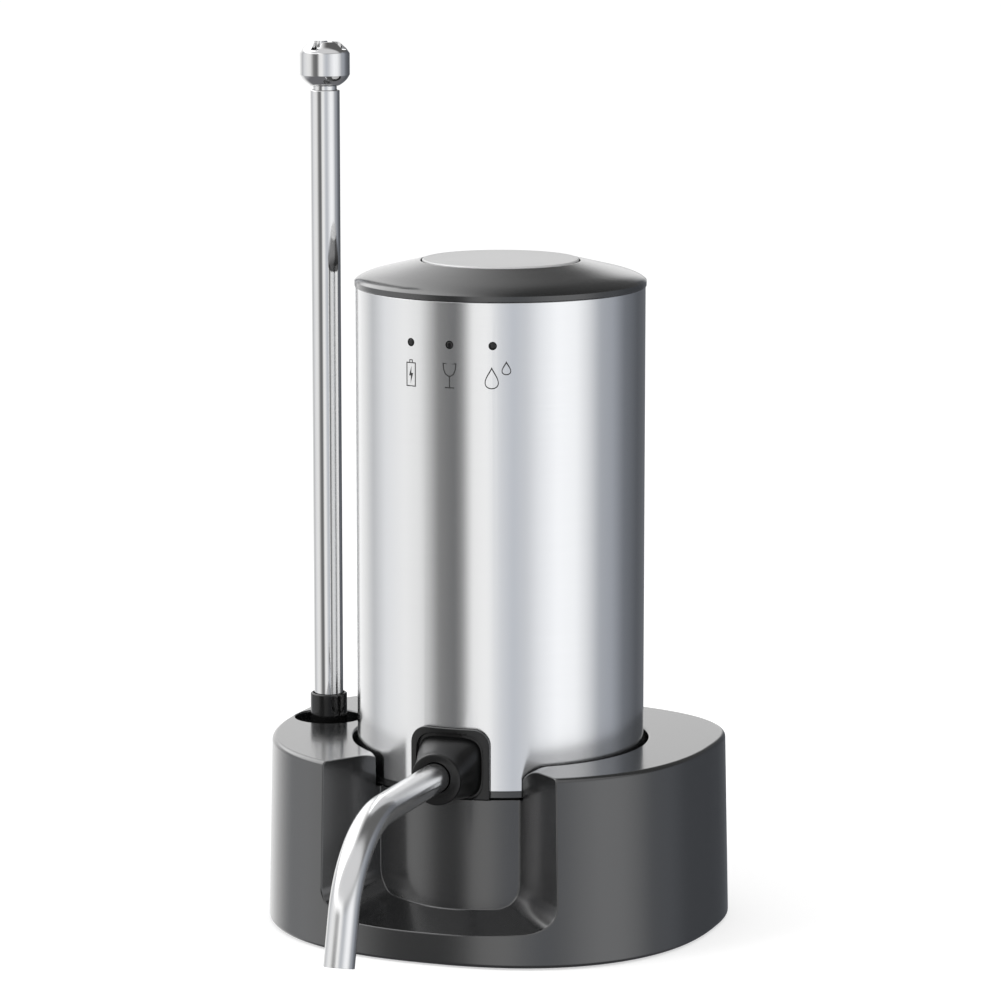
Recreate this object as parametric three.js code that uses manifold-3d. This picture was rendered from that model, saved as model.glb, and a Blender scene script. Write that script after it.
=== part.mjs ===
// Electric wine aerator, standing in its storage base beside its telescopic suction tube.
// Millimetres, +Z up. The origin is on the resting plane under the dispenser's axis. The spout points
// along -Y, and the suction tube stands on the -X side.
// The base, the dispenser, the power button, the motor's rotor, the outer tube and the inner tube are the
// bodies that move against each other, and each has a group of its own.

import * as THREE from "three";
import { mergeVertices } from "three/addons/utils/BufferGeometryUtils.js";
import Module from "manifold-3d";

// Fits between pieces
const seatGap = 0.3; // where one piece rests on, or is fixed to, another
const runningGap = 0.4; // round what turns or slides
const overrun = 1; // how far a cutter stands out of what it cuts
const weldDistance = 0.0005;

// Storage base
const baseHeight = 39.5;
const baseRightMargin = 14.1; // from the pocket's wall to the outside
const baseFrontMargin = 9.5;
const baseRearMargin = 8;
const baseCentreY = 6; // where the base is widest
const frontSquareness = 2.35; // 2 is an ellipse, and more is squarer
const rearSquareness = 2.65;
const baseDraft = 0.9; // how much wider the foot is than the top, on each side
const baseEdgeRound = 1;
const baseWall = 2.5;
const baseRoof = 2.5;
const rimWall = 2;
const footStandoff = 0.3; // the shell's rim stays this far above the floor
const padThickness = 1;
const padMargin = 2.5; // from the shell's rim to the pad
const plateThickness = 2.4;

// Pocket, pedestal and well that take the dispenser
const pocketGap = 1; // round the dispenser's sleeve
const pocketDepth = 7;
const pocketFloorThickness = 2.5;
const pedestalStep = 1; // from the pocket's wall in to the pedestal's face
const pedestalWall = 2.5;
const wellGap = 1.1; // round the stopper's flange
const wellFloorHeight = 5.6;
const wellClearance = 0.6; // under the stem
const wellWall = 1.6;

// Flared window in front of the pedestal
const windowCentreX = -3.25; // at the throat
const windowSkewAngle = 17.7; // degrees, how its middle turns towards +X
const throatHalfWidth = 14.2;
const splayAngle = 44.6; // degrees, how the sides open towards the front
const throatFloorHeight = 10.3;
const floorFallAngle = 11.6; // degrees
const windowCornerRadius = 5.2;
const rightHornRound = 5.8; // the right side wall's inner top corner
const leftHornRound = 3; // the left side wall's inner top corner

// Hole for the suction tube
const tubeSpacing = 9.7; // from the pocket's wall to the tube's axis
const tubeY = 4.4;
const recessHalfWidth = 7.2;
const recessHalfDepth = 7.2;
const recessRim = 1; // what is left between the recess and the outside
const recessDepth = 7;
const boreFloorHeight = 17;
const boreWall = 1.6;

// Base screws
const screwPlaceShares = [ // of the base's half width, and of its depth in front or behind
  [0.64, 0.55],
  [-0.6, 0.58],
  [0.8, -0.48],
  [-0.73, -0.51],
];
const bossRadius = 3.2;
const baseScrewHeadRadius = 2.6;
const baseScrewHeadHeight = 1.1;
const baseScrewRadius = 1.1;
const baseScrewLength = 10;
const bossBoreDepth = 12;

// Sleeve and bottom ring
const sleeveRadius = 30;
const sleeveWall = 0.6;
const sleeveLength = 100.3;
const ringHeight = 1.4;
const spigotHeight = 4.6;
const spigotWall = 1.8;
const capFloorThickness = 2;
const neckRadius = 6;
const neckBoreRadius = 4.6;
const neckRecess = 2.5; // its lower end inside the stopper
const airPortX = -9;
const airPortY = 4;
const barbRadius = 2;
const barbBoreRadius = 0.9;
const airBarbHeight = 4;

// Top cap
const capOverhang = 0.2; // past the sleeve
const capBandHeight = 1.2;
const capRise = 4.1;
const capRadiusShares = [1, 0.967, 0.891, 0.728, 0.604, 0.56]; // of the cap's radius, rim to lip
const capHeightShares = [0, 0.18, 0.4, 0.7, 0.92, 1]; // of the cap's rise
const capSkirtLength = 5.3;
const capSkirtWall = 1.8;
const domeWall = 2.2;
const capLipWidth = 0.4;
const buttonWellWall = 1.8;
const webThickness = 1.5;
const webDrop = 4.5; // from the sleeve's top edge down to the web's underside

// Power button, its spring and its switch
const buttonRise = 0.3; // above the cap's lip
const buttonChamfer = 0.3; // and the lip's
const buttonThickness = 1.6;
const buttonSkirtHeight = 3;
const buttonSkirtWall = 1.4;
const buttonTravel = 1.2;
const stemRadius = 2.6;
const latchRadius = 3.8;
const latchThickness = 0.9;
const springRadius = 5;
const springWireRadius = 0.35;
const springTurns = 5;
const plungerRadius = 1.7;
const plungerHeight = 1.1;
const switchWidth = 6;
const switchHeight = 3;

// Chassis
const lowerDeckHeight = 13.2;
const deckThickness = 2;
const switchPostHeight = 3.4;
const chassisWall = 2;
const partitionFrontShare = 0.48; // of the deck's radius
const partitionRearShare = 0.58;
const postRadius = 2;
const postInset = 4.5; // from the switch board's edge
const capScrewInset = 5.3; // from the spigot
const capScrewHeadRadius = 2.4;
const capScrewHeadHeight = 0.9;
const capScrewRadius = 1;
const capScrewLength = 8.5;
const capScrewBossRadius = 2.8;

// Circuit boards
const boardThickness = 1.6;
const frontBoardSideGap = 2.05;
const frontBoardInset = 8.7; // from the inside wall to its rear face
const boardSpacing = 2.9; // between the front board and the switch board
const switchBoardThickness = 1.2;
const chargeBoardHalfWidth = 8;
const chargeBoardHeight = 15;
const chargeBoardThickness = 1.2;

// Indicators
const indicatorDrop = 8.7; // below the sleeve's top edge
const indicatorAngles = [-17, 0, 17]; // degrees from the front, towards +X
const lensRadius = 0.7;
const lensGap = 0.15;
const lampWidth = 1.6;
const lampDepth = 0.8;

// Charging socket
const socketHeight = 21; // above the dispenser's underside
const socketWidth = 8.9;
const socketThickness = 3.3;
const socketInset = 0.8; // of its mouth behind the sleeve's outside
const socketDepth = 7.5;
const socketWall = 0.4;
const socketMouthDepth = 5.5;
const socketTongueWidth = 6.4;
const socketTongueThickness = 0.7;
const socketCutGap = 0.45;

// Battery
const bayCentreY = 6; // the battery and the pump stand on this line
const bayGap = 3.6; // between the pump and the battery, round the partition
const partitionX = 3.5;
const batteryWallGap = 4.2; // to the inside wall
const pumpWallGap = 2.9;
const batteryHeadroom = 1.7; // which leaves the length of a standard cell
const batteryNubRadius = 2.8;
const batteryNubHeight = 1;

// Air pump and motor
const pumpCoverHeight = 12.2;
const pumpBarbLength = 4;
const cupCount = 3;
const cupCircleShare = 0.485; // of the pump's radius
const cupRadiusShare = 0.273;
const cupDepth = 4;
const diaphragmThickness = 2;
const drivePlateInset = 3.2; // inside the housing's wall
const drivePlateThickness = 2.4;
const drivePinRadius = 1;
const drivePinLength = 4;
const pumpHousingHeight = 16.7;
const pumpHousingWall = 2;
const crankRadius = 5;
const crankHeight = 4.6;
const crankRecessRadius = 2.6;
const crankRecessDepth = 2;
const crankFlat = 3.2; // from the shaft's axis to the crank's light side
const motorInset = 1; // inside the pump's outside
const motorWall = 1;
const magnetWall = 1.8;
const magnetLength = 21;
const shaftRadius = 1;
const coreGap = 0.9; // between the core and the magnet
const coreLength = 17;
const coreSlotWidth = 2;
const endCapThickness = 2;
const terminalWidth = 2.4;
const terminalThickness = 0.6;
const terminalHeight = 2;
const terminalX = 5;
const terminalHeadroom = 0.6;

// Wires and hose inside
const wireRadius = 0.6;
const wireHoleRadius = 1.6;
const hoseWall = 0.8;

// Spout bezel
const bezelHalfWidth = 8.5;
const bezelHeight = 14.4;
const bezelThickness = 1;
const bezelCornerRadius = 3.5;
const noseHalfWidth = 7.2;
const noseHeight = 13.1;
const noseLength = 8.5; // from the sleeve to the nose's end face
const noseDiscRadius = 5.3;
const noseDiscHeight = 5.35; // its centre above the dispenser's underside
const noseSquareness = 4;
const bezelNeckHalfWidth = 5.8;
const bezelNeckTop = 11.8;
const bezelNeckDepth = 4; // inwards from the sleeve's outside
const sealWidth = 2.8;
const sealWall = 0.9;

// Spout tube and the way to it
const spoutRadius = 3.15;
const spoutWall = 0.5;
const spoutHeight = 5.8; // its axis above the dispenser's underside
const spoutTuck = 2; // from the bezel's neck back to the tube's inner end
const spoutRun = 28.5; // from the nose to where the bend starts
const spoutBendRadius = 22;
const spoutBendAngle = 75; // degrees
const spoutTail = 10;
const spoutHoleGap = 0.2;
const elbowRadius = 3.5;
const elbowBoreRadius = 2.2;
const elbowBendRadius = 6;
const elbowDrop = 5.5; // from the bend's start to the elbow's lower end

// Stopper and inlet stem
const stemExposure = 1.8; // below the stopper
const stopperWall = 2;
const stopperFlangeRadius = 11.4;
const stopperFlangeThickness = 2;
const stopperRibCount = 4;
const stopperRibRadius = 10;
const stopperTipRadius = 9.2;
const stopperRibHeightShare = 0.55; // of a rib's pitch
const stemTubeRadius = 3;
const stemBoreRadius = 2.2;
const stemFlangeThickness = 2;
const inletSealRadius = 0.5; // of its round section
const inletSealHeight = 2.2; // above the stem's lower end

// Telescopic suction tube
const collarLength = 27.5;
const collarWall = 0.5;
const collarShoulder = 0.5;
const outerTubeRadius = 3.1;
const outerTubeLength = 156.2;
const outerTubeWall = 0.3;
const outerTubeLip = 0.5; // how far its top edge is rolled in
const innerTubeWall = 0.4;
const innerTubeOverlap = 103.5; // inside the outer tube
const tubeSlack = 0.3;
const tubeRunningGap = 0.15;
const footStandoffGap = 0.7; // above the outer tube
const footHeight = 9.3;
const footRadius = 5.25;
const footRadiusShares = [0.5, 0.72, 0.9, 1, 1, 0.86, 0.68, 0.56]; // outside, from the bottom up
const footHeightShares = [0, 0.07, 0.16, 0.26, 0.74, 0.86, 0.95, 1];
const footBoreRadius = 1.9;
const footFloor = 2;
const footSlotWidth = 1.8;
const footSlotDepth = 1.6;
const footSlotAngle = -5; // degrees, how the slots are turned
const gripHeight = 3;

// How finely the round shapes are cut
const outlinePoints = 60;
const bodySides = 48;
const ringSides = 20;
const pinSides = 10;
const wireSides = 6;
const cornerSteps = 3;
const spoutSteps = 24;
const spoutSides = 14;

// Heights and places that follow from the sizes above
const plateBottom = padThickness + seatGap;
const plateTop = plateBottom + plateThickness;
const rebateTop = plateTop + seatGap;
const pocketFloorHeight = baseHeight - pocketDepth;
const dispenserRest = pocketFloorHeight + seatGap;
const capRadius = sleeveRadius + capOverhang;
const pocketRadius = sleeveRadius + pocketGap;
const pedestalRadius = pocketRadius - pedestalStep;
const wellRadius = stopperFlangeRadius + wellGap;
const tubeX = -pocketRadius - tubeSpacing;
const baseLeft = recessHalfWidth + recessRim - tubeX; // from the dispenser's axis
const baseRight = pocketRadius + baseRightMargin;
const baseHalfWidth = (baseLeft + baseRight) / 2;
const baseCentreX = (baseRight - baseLeft) / 2;
const baseFrontDepth = pocketRadius + baseFrontMargin + baseCentreY; // from the widest line to the front
const baseRearDepth = pocketRadius + baseRearMargin - baseCentreY;
const screwPlaces = screwPlaceShares.map(([across, along]) => [
  baseCentreX + across * baseHalfWidth,
  baseCentreY + along * (along < 0 ? baseFrontDepth : baseRearDepth),
]);
const sleeveTop = ringHeight + sleeveLength;
const sleeveBore = sleeveRadius - sleeveWall;
const insideRadius = sleeveBore - seatGap;
const capTop = sleeveTop + capBandHeight + capRise;
const buttonWellRadius = capRadius * capRadiusShares.at(-1) - capLipWidth;
const buttonRadius = buttonWellRadius - seatGap;
const webBottom = sleeveTop - webDrop;
const webTop = webBottom + webThickness;
const buttonTop = capTop + buttonRise;
const buttonUnderside = buttonTop - buttonThickness;
const latchTop = webBottom - seatGap;
const latchBottom = latchTop - latchThickness;
const plungerTop = latchBottom - buttonTravel - seatGap;
const switchTop = plungerTop - plungerHeight;
const switchBottom = switchTop - switchHeight;
const switchBoardTop = switchBottom - seatGap;
const switchBoardBottom = switchBoardTop - switchBoardThickness;
const spigotTop = ringHeight + spigotHeight;
const lowerDeckTop = lowerDeckHeight + deckThickness;
const upperDeckTop = switchBoardBottom - seatGap - switchPostHeight;
const upperDeckHeight = upperDeckTop - deckThickness;
const bayFloor = lowerDeckTop + seatGap;
const coverTop = bayFloor + pumpCoverHeight;
const diaphragmTop = coverTop + seatGap + diaphragmThickness;
const housingBottom = diaphragmTop + seatGap;
const housingTop = housingBottom + pumpHousingHeight;
const motorBottom = housingTop + seatGap;
const endCapTop = upperDeckHeight - terminalHeadroom - terminalHeight;
const motorTop = endCapTop - endCapThickness - seatGap;
const motorLength = motorTop - motorBottom;
const drivePlateTop = housingBottom + drivePlateThickness;
const crankBottom = drivePlateTop + drivePinLength - crankRecessDepth + runningGap;
const crankTop = crankBottom + crankHeight;
const batteryTop = upperDeckHeight - batteryHeadroom - batteryNubHeight;
const batteryEdge = partitionX + bayGap / 2; // its side towards the dispenser's axis
const batteryRadius = roundInBay(batteryEdge, batteryWallGap);
const batteryX = batteryEdge + batteryRadius;
const pumpEdge = bayGap / 2 - partitionX;
const pumpRadius = roundInBay(pumpEdge, pumpWallGap);
const pumpX = -pumpEdge - pumpRadius;
const cupCircle = pumpRadius * cupCircleShare;
const cupRadius = pumpRadius * cupRadiusShare;
const drivePlateRadius = pumpRadius - pumpHousingWall - drivePlateInset;
const motorRadius = pumpRadius - motorInset;
const magnetRadius = motorRadius - motorWall - seatGap;
const coreRadius = magnetRadius - magnetWall - coreGap;
const capScrewCircle = insideRadius - spigotWall - capScrewInset;
const indicatorHeight = sleeveTop - indicatorDrop;
const frontBoardY = frontBoardInset - insideRadius;
const frontBoardFront = frontBoardY - boardThickness;
const frontBoardTop = sleeveTop - capSkirtLength - runningGap;
const frontBoardHalfWidth = Math.sqrt(insideRadius ** 2 - frontBoardFront ** 2) - frontBoardSideGap;
const switchBoardRadius = -frontBoardY - boardSpacing;
const postCircle = switchBoardRadius - postInset;
const chargeBoardY = sleeveRadius - socketInset - socketDepth - seatGap - chargeBoardThickness; // its front
const throatY = -Math.sqrt(pedestalRadius ** 2 - (throatHalfWidth - windowCentreX) ** 2);
const windowSkew = Math.tan((windowSkewAngle * Math.PI) / 180);
const windowSplay = Math.tan((splayAngle * Math.PI) / 180);
const pumpBarbBottom = bayFloor - pumpBarbLength;
const airBarbTop = capFloorThickness + airBarbHeight;
const neckBackY = -sleeveRadius + bezelNeckDepth;
const noseReach = sleeveRadius + noseLength;
const spoutStartY = neckBackY + spoutTuck;
const spoutBendY = -noseReach - spoutRun;
const stemReach = dispenserRest - wellFloorHeight - wellClearance; // below the dispenser's underside
const stopperLength = stemReach - stemExposure - seatGap;
const neckLength = stopperLength - neckRecess;
const collarBottom = boreFloorHeight + seatGap; // this and what follows are heights above the floor
const collarTop = collarBottom + collarLength;
const collarRadius = outerTubeRadius + seatGap + collarWall;
const outerTubeTop = collarBottom + outerTubeLength;
const innerTubeRadius = outerTubeRadius - outerTubeWall - tubeSlack;
const innerTubeBottom = outerTubeTop - innerTubeOverlap;
const footBottom = outerTubeTop + footStandoffGap;
const footTop = footBottom + footHeight;

// The radius of what stands in the bay, from its side towards the dispenser's axis to near the inside wall
function roundInBay(nearEdge, wallGap) {
  const reach = insideRadius - wallGap;
  return (reach ** 2 - nearEdge ** 2 - bayCentreY ** 2) / (2 * (reach + nearEdge));
}

const wasm = await Module();
wasm.setup();

// Solids: three.js shapes, joined and cut

function toManifold(geometry) {
  const bare = geometry.index ? geometry.toNonIndexed() : geometry.clone();
  bare.deleteAttribute("normal");
  bare.deleteAttribute("uv");
  const welded = mergeVertices(bare, weldDistance);
  const corners = welded.index.array;
  const triangles = [];
  for (let i = 0; i < corners.length; i += 3) {
    const [a, b, c] = [corners[i], corners[i + 1], corners[i + 2]];
    if (a !== b && b !== c && c !== a) triangles.push(a, b, c);
  }
  return new wasm.Manifold(new wasm.Mesh({
    numProp: 3,
    vertProperties: new Float32Array(welded.attributes.position.array),
    triVerts: new Uint32Array(triangles),
  }));
}

function fromManifold(manifold) {
  const mesh = manifold.getMesh();
  const geometry = new THREE.BufferGeometry();
  geometry.setAttribute("position", new THREE.BufferAttribute(mesh.vertProperties, 3));
  geometry.setIndex(new THREE.BufferAttribute(mesh.triVerts, 1));
  return geometry;
}

function join(first, ...others) {
  const sum = others.reduce((whole, other) => whole.add(toManifold(other)), toManifold(first));
  return fromManifold(sum);
}

function cut(body, ...cutters) {
  const rest = cutters.reduce((whole, cutter) => whole.subtract(toManifold(cutter)), toManifold(body));
  return fromManifold(rest);
}

function common(first, second) {
  return fromManifold(toManifold(first).intersect(toManifold(second)));
}

// Moves every corner of a shape by a rule
function reshape(geometry, rule) {
  const position = geometry.attributes.position;
  const point = new THREE.Vector3();
  for (let i = 0; i < position.count; i += 1) {
    point.fromBufferAttribute(position, i);
    rule(point);
    position.setXYZ(i, point.x, point.y, point.z);
  }
  return geometry;
}

// A profile of [radius, height] pairs, turned about Z. It runs up the outside and down the inside.
function turned(profile, sides) {
  const points = profile.map(([radius, height]) => new THREE.Vector2(radius, height));
  return new THREE.LatheGeometry(points, sides).rotateX(Math.PI / 2);
}

function post(radius, bottom, top, sides = pinSides) {
  return turned([[0, bottom], [radius, bottom], [radius, top], [0, top]], sides);
}

function tube(radius, bore, bottom, top, sides = ringSides) {
  return turned([[bore, bottom], [radius, bottom], [radius, top], [bore, top], [bore, bottom]], sides);
}

function block(low, high) {
  const size = high.map((value, i) => value - low[i]);
  const middle = high.map((value, i) => (value + low[i]) / 2);
  return new THREE.BoxGeometry(...size).translate(...middle);
}

function slab(shape, bottom, top, steps = cornerSteps) {
  const options = { depth: top - bottom, bevelEnabled: false, curveSegments: steps };
  return new THREE.ExtrudeGeometry(shape, options).translate(0, 0, bottom);
}

// A shape drawn in X and Z, pushed from one Y to another, farther forward
function pushedForward(shape, fromY, toY, steps = cornerSteps) {
  return slab(shape, 0, fromY - toY, steps).rotateX(Math.PI / 2).translate(0, fromY, 0);
}

function disc(radius) {
  return new THREE.Shape().absarc(0, 0, radius, 0, 2 * Math.PI);
}

function ring(radius, bore) {
  const shape = disc(radius);
  shape.holes.push(new THREE.Path().absarc(0, 0, bore, 0, 2 * Math.PI, true));
  return shape;
}

function roundedRectangle(halfWidth, bottom, top, radius) {
  return new THREE.Shape()
    .moveTo(-halfWidth + radius, bottom)
    .lineTo(halfWidth - radius, bottom)
    .absarc(halfWidth - radius, bottom + radius, radius, -Math.PI / 2, 0)
    .lineTo(halfWidth, top - radius)
    .absarc(halfWidth - radius, top - radius, radius, 0, Math.PI / 2)
    .lineTo(-halfWidth + radius, top)
    .absarc(-halfWidth + radius, top - radius, radius, Math.PI / 2, Math.PI)
    .lineTo(-halfWidth, bottom + radius)
    .absarc(-halfWidth + radius, bottom + radius, radius, Math.PI, 1.5 * Math.PI);
}

function swept(shape, path, steps, sides) {
  const options = { extrudePath: path, steps, curveSegments: sides / 2, bevelEnabled: false };
  return new THREE.ExtrudeGeometry(shape, options);
}

// A straight run, a bend and another straight run, in the plane X = 0. The angle is the way that the path
// points, from -Y towards -Z, and the bend turns it from startAngle to endAngle.
class BentPath extends THREE.Curve {
  constructor(start, startAngle, endAngle, firstRun, bendRadius, lastRun) {
    super();
    Object.assign(this, { start, startAngle, endAngle, firstRun, bendRadius, lastRun });
    this.bendLength = Math.abs(endAngle - startAngle) * bendRadius;
    this.total = firstRun + this.bendLength + lastRun;
  }

  getPoint(share, target = new THREE.Vector3()) {
    const way = share * this.total;
    const side = Math.sign(this.endAngle - this.startAngle);
    const along = (angle) => new THREE.Vector3(0, -Math.cos(angle), -Math.sin(angle));
    const across = (angle) => new THREE.Vector3(0, Math.sin(angle), -Math.cos(angle)).multiplyScalar(side);
    target.copy(this.start).addScaledVector(along(this.startAngle), Math.min(way, this.firstRun));
    const bent = THREE.MathUtils.clamp(way - this.firstRun, 0, this.bendLength);
    const angle = this.startAngle + side * (bent / this.bendRadius);
    target.addScaledVector(across(this.startAngle), this.bendRadius);
    target.addScaledVector(across(angle), -this.bendRadius);
    return target.addScaledVector(along(angle), Math.max(way - this.firstRun - this.bendLength, 0));
  }
}

// Materials

function material(color, roughness, metalness) {
  return new THREE.MeshStandardMaterial({ color, roughness, metalness });
}

const greyPlastic = () => material(0x4a4b4e, 0.5, 0);
const darkPlastic = () => material(0x35363a, 0.45, 0);
const blackRubber = () => material(0x1c1c1d, 0.6, 0);
const blackGloss = () => material(0x101010, 0.15, 0);
const brushedSteel = () => material(0xc2c5ca, 0.35, 1);
const polishedSteel = () => material(0xd8dade, 0.12, 1);
const lightSatin = () => material(0xdcdcdc, 0.4, 0.2);
const boardGreen = () => material(0x1f5c3a, 0.6, 0);
const whitePlastic = () => material(0xe4e2dc, 0.5, 0);
const copperWire = () => material(0xb8322a, 0.5, 0);
const blueWrap = () => material(0x2f6fb0, 0.4, 0);
const clearSilicone = () => material(0xcfd4d6, 0.5, 0);
const tintedLens = () => material(0x151515, 0.2, 0);
const magnetGrey = () => material(0x5a5a5e, 0.6, 0.3);

function place(group, name, geometry, finish) {
  const shown = geometry.index ? geometry.toNonIndexed() : geometry;
  shown.computeVertexNormals();
  const mesh = new THREE.Mesh(shown, finish);
  mesh.name = name;
  group.add(mesh);
  return mesh;
}

// Storage base

// The base's plan: an oval that is elliptical in front and squarer behind
function basePlan(inset) {
  const points = [];
  for (let i = 0; i < outlinePoints; i += 1) {
    const angle = (2 * Math.PI * i) / outlinePoints;
    const [across, along] = [Math.cos(angle), Math.sin(angle)];
    const depth = (along < 0 ? baseFrontDepth : baseRearDepth) - inset;
    const power = 2 / (along < 0 ? frontSquareness : rearSquareness);
    points.push(new THREE.Vector2(
      baseCentreX + (baseHalfWidth - inset) * Math.sign(across) * Math.abs(across) ** power,
      baseCentreY + depth * Math.sign(along) * Math.abs(along) ** power,
    ));
  }
  return new THREE.Shape(points);
}

// Widens a shape towards the floor, as the base's sides do
function drafted(geometry) {
  return reshape(geometry, (point) => {
    const drop = 1 - point.z / baseHeight;
    point.x += (point.x - baseCentreX) * (drop * baseDraft / baseHalfWidth);
    point.y += (point.y - baseCentreY) * (drop * baseDraft / baseFrontDepth);
  });
}

function baseOutside() {
  const options = {
    depth: baseHeight - footStandoff - 2 * baseEdgeRound,
    bevelThickness: baseEdgeRound,
    bevelSize: baseEdgeRound,
    bevelSegments: cornerSteps,
  };
  const straight = new THREE.ExtrudeGeometry(basePlan(baseEdgeRound), options);
  return drafted(straight.translate(0, 0, footStandoff + baseEdgeRound));
}

// The window's space, or with a wall thickness to grow by, the space of its walls
function windowFlare(grow) {
  const half = throatHalfWidth + grow;
  const floor = throatFloorHeight - grow;
  const top = baseHeight + baseFrontDepth;
  const corner = windowCornerRadius;
  const throat = new THREE.Shape()
    .moveTo(-half, top)
    .lineTo(-half, floor + corner)
    .absarc(-half + corner, floor + corner, corner, Math.PI, 1.5 * Math.PI)
    .lineTo(half - corner, floor)
    .absarc(half - corner, floor + corner, corner, 1.5 * Math.PI, 2 * Math.PI)
    .lineTo(half, top);
  const fall = Math.tan(THREE.MathUtils.degToRad(floorFallAngle));
  return reshape(pushedForward(throat, throatY, -baseFrontDepth), (point) => {
    const run = throatY - point.y;
    point.x = windowCentreX + run * windowSkew + point.x * (1 + (run * windowSplay) / half);
    point.z -= run * fall;
  });
}

// Where a side wall of the window meets the pedestal
function wallEnd(side) {
  const startX = windowCentreX + side * throatHalfWidth;
  const slope = windowSkew + side * windowSplay;
  const steepness = slope ** 2 + 1;
  const approach = startX * slope - throatY;
  const short = Math.max(pedestalRadius ** 2 - startX ** 2 - throatY ** 2, 0);
  const run = (Math.sqrt(approach ** 2 + steepness * short) - approach) / steepness;
  return [startX + slope * run, throatY - run];
}

// Rounds the inner top corner of one side wall, where it meets the pocket
function hornCutter(side) {
  const round = side > 0 ? rightHornRound : leftHornRound;
  const corner = new THREE.Shape()
    .moveTo(-overrun, baseHeight + overrun)
    .lineTo(-overrun, baseHeight - round)
    .lineTo(0, baseHeight - round)
    .absarc(round, baseHeight - round, round, Math.PI, Math.PI / 2, true)
    .lineTo(round, baseHeight + overrun);
  const [endX, endY] = wallEnd(side);
  const rear = endY + round;
  const cutter = pushedForward(corner, rear, -baseFrontDepth);
  const onItsSide = side > 0 ? cutter : cutter.rotateZ(Math.PI).translate(0, rear - baseFrontDepth, 0);
  return onItsSide.translate(endX, 0, 0);
}

function ovalPost(halfWidth, halfDepth, bottom, top) {
  return slab(new THREE.Shape().absellipse(0, 0, halfWidth, halfDepth, 0, 2 * Math.PI), bottom, top, pinSides)
    .translate(tubeX, tubeY, 0);
}

function baseShell() {
  const roofBottom = baseHeight - baseRoof;
  const pocketWallRadius = pocketRadius + baseWall;
  const recessFloor = baseHeight - recessDepth;
  const bore = collarRadius + seatGap;
  const bosses = screwPlaces.map(([x, y]) =>
    post(bossRadius, rebateTop, baseHeight - overrun).translate(x, y, 0));
  const bossBores = screwPlaces.map(([x, y]) =>
    post(baseScrewRadius + seatGap, rebateTop - overrun, rebateTop + bossBoreDepth).translate(x, y, 0));
  const underPocket = pocketFloorHeight - pocketFloorThickness;
  const hollow = cut(
    drafted(slab(basePlan(baseWall), rebateTop - overrun, roofBottom)),
    windowFlare(baseWall),
    post(pocketWallRadius, underPocket, baseHeight, bodySides),
    tube(pedestalRadius, pedestalRadius - pedestalWall, 0, baseHeight, bodySides),
    post(wellRadius + wellWall, 0, baseHeight, ringSides),
    ovalPost(recessHalfWidth + boreWall, recessHalfDepth + boreWall, recessFloor - boreWall, baseHeight),
    post(bore + boreWall, boreFloorHeight - boreWall, baseHeight, ringSides).translate(tubeX, tubeY, 0),
    ...bosses,
  );
  const rebate = drafted(slab(basePlan(rimWall), -overrun, rebateTop));
  return cut(
    baseOutside(),
    cut(windowFlare(0), post(pedestalRadius, 0, baseHeight + baseFrontDepth, bodySides)),
    hornCutter(1),
    hornCutter(-1),
    post(pocketRadius, pocketFloorHeight, baseHeight + overrun, bodySides),
    post(wellRadius, wellFloorHeight, baseHeight, ringSides),
    ovalPost(recessHalfWidth, recessHalfDepth, recessFloor, baseHeight + overrun),
    post(bore, boreFloorHeight, baseHeight, ringSides).translate(tubeX, tubeY, 0),
    hollow,
    rebate,
    ...bossBores,
  );
}

function bottomPlate() {
  const recessTop = plateBottom + baseScrewHeadHeight + seatGap;
  const holes = screwPlaces.flatMap(([x, y]) => [
    post(baseScrewRadius + seatGap, plateBottom - overrun, plateTop + overrun).translate(x, y, 0),
    post(baseScrewHeadRadius + seatGap, plateBottom - overrun, recessTop).translate(x, y, 0),
  ]);
  return cut(drafted(slab(basePlan(rimWall + seatGap), plateBottom, plateTop)), ...holes);
}

function baseScrew() {
  const headTop = plateBottom + baseScrewHeadHeight;
  return turned([
    [0, plateBottom], [baseScrewHeadRadius, plateBottom], [baseScrewHeadRadius, headTop],
    [baseScrewRadius, headTop], [baseScrewRadius, headTop + baseScrewLength], [0, headTop + baseScrewLength],
  ], pinSides);
}

function buildBase() {
  const group = new THREE.Group();
  place(group, "base_shell", baseShell(), greyPlastic());
  place(group, "bottom_plate", bottomPlate(), darkPlastic());
  place(group, "foot_pad", slab(basePlan(rimWall + padMargin), 0, padThickness), blackRubber());
  screwPlaces.forEach(([x, y], i) => {
    place(group, `base_screw_${i + 1}`, baseScrew(), polishedSteel()).position.set(x, y, 0);
  });
  return group;
}

// Dispenser's casing, heights above its underside

function outerSleeve() {
  const neckHalf = bezelNeckHalfWidth + seatGap;
  const neckShape = roundedRectangle(neckHalf, ringHeight - overrun, bezelNeckTop + seatGap, seatGap);
  const neckCut = pushedForward(neckShape, 0, -capRadius - overrun);
  const holeRadius = lensRadius + lensGap;
  const lensHoles = indicatorAngles.map((angle) => lyingPost(holeRadius, 0, sleeveRadius + overrun, angle));
  const half = socketWidth / 2 + socketCutGap;
  const reach = socketThickness / 2 + socketCutGap;
  const socketCut = pushedForward(
    roundedRectangle(half, socketHeight - reach, socketHeight + reach, reach), sleeveRadius + overrun, 0);
  const wall = tube(sleeveRadius, sleeveBore, ringHeight, sleeveTop, bodySides);
  return cut(wall, neckCut, socketCut, ...lensHoles);
}

// A pin that lies level and points outwards at an indicator's height
function lyingPost(radius, inner, outer, angle) {
  return post(radius, inner, outer)
    .rotateX(Math.PI / 2)
    .rotateZ(THREE.MathUtils.degToRad(angle))
    .translate(0, 0, indicatorHeight);
}

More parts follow.
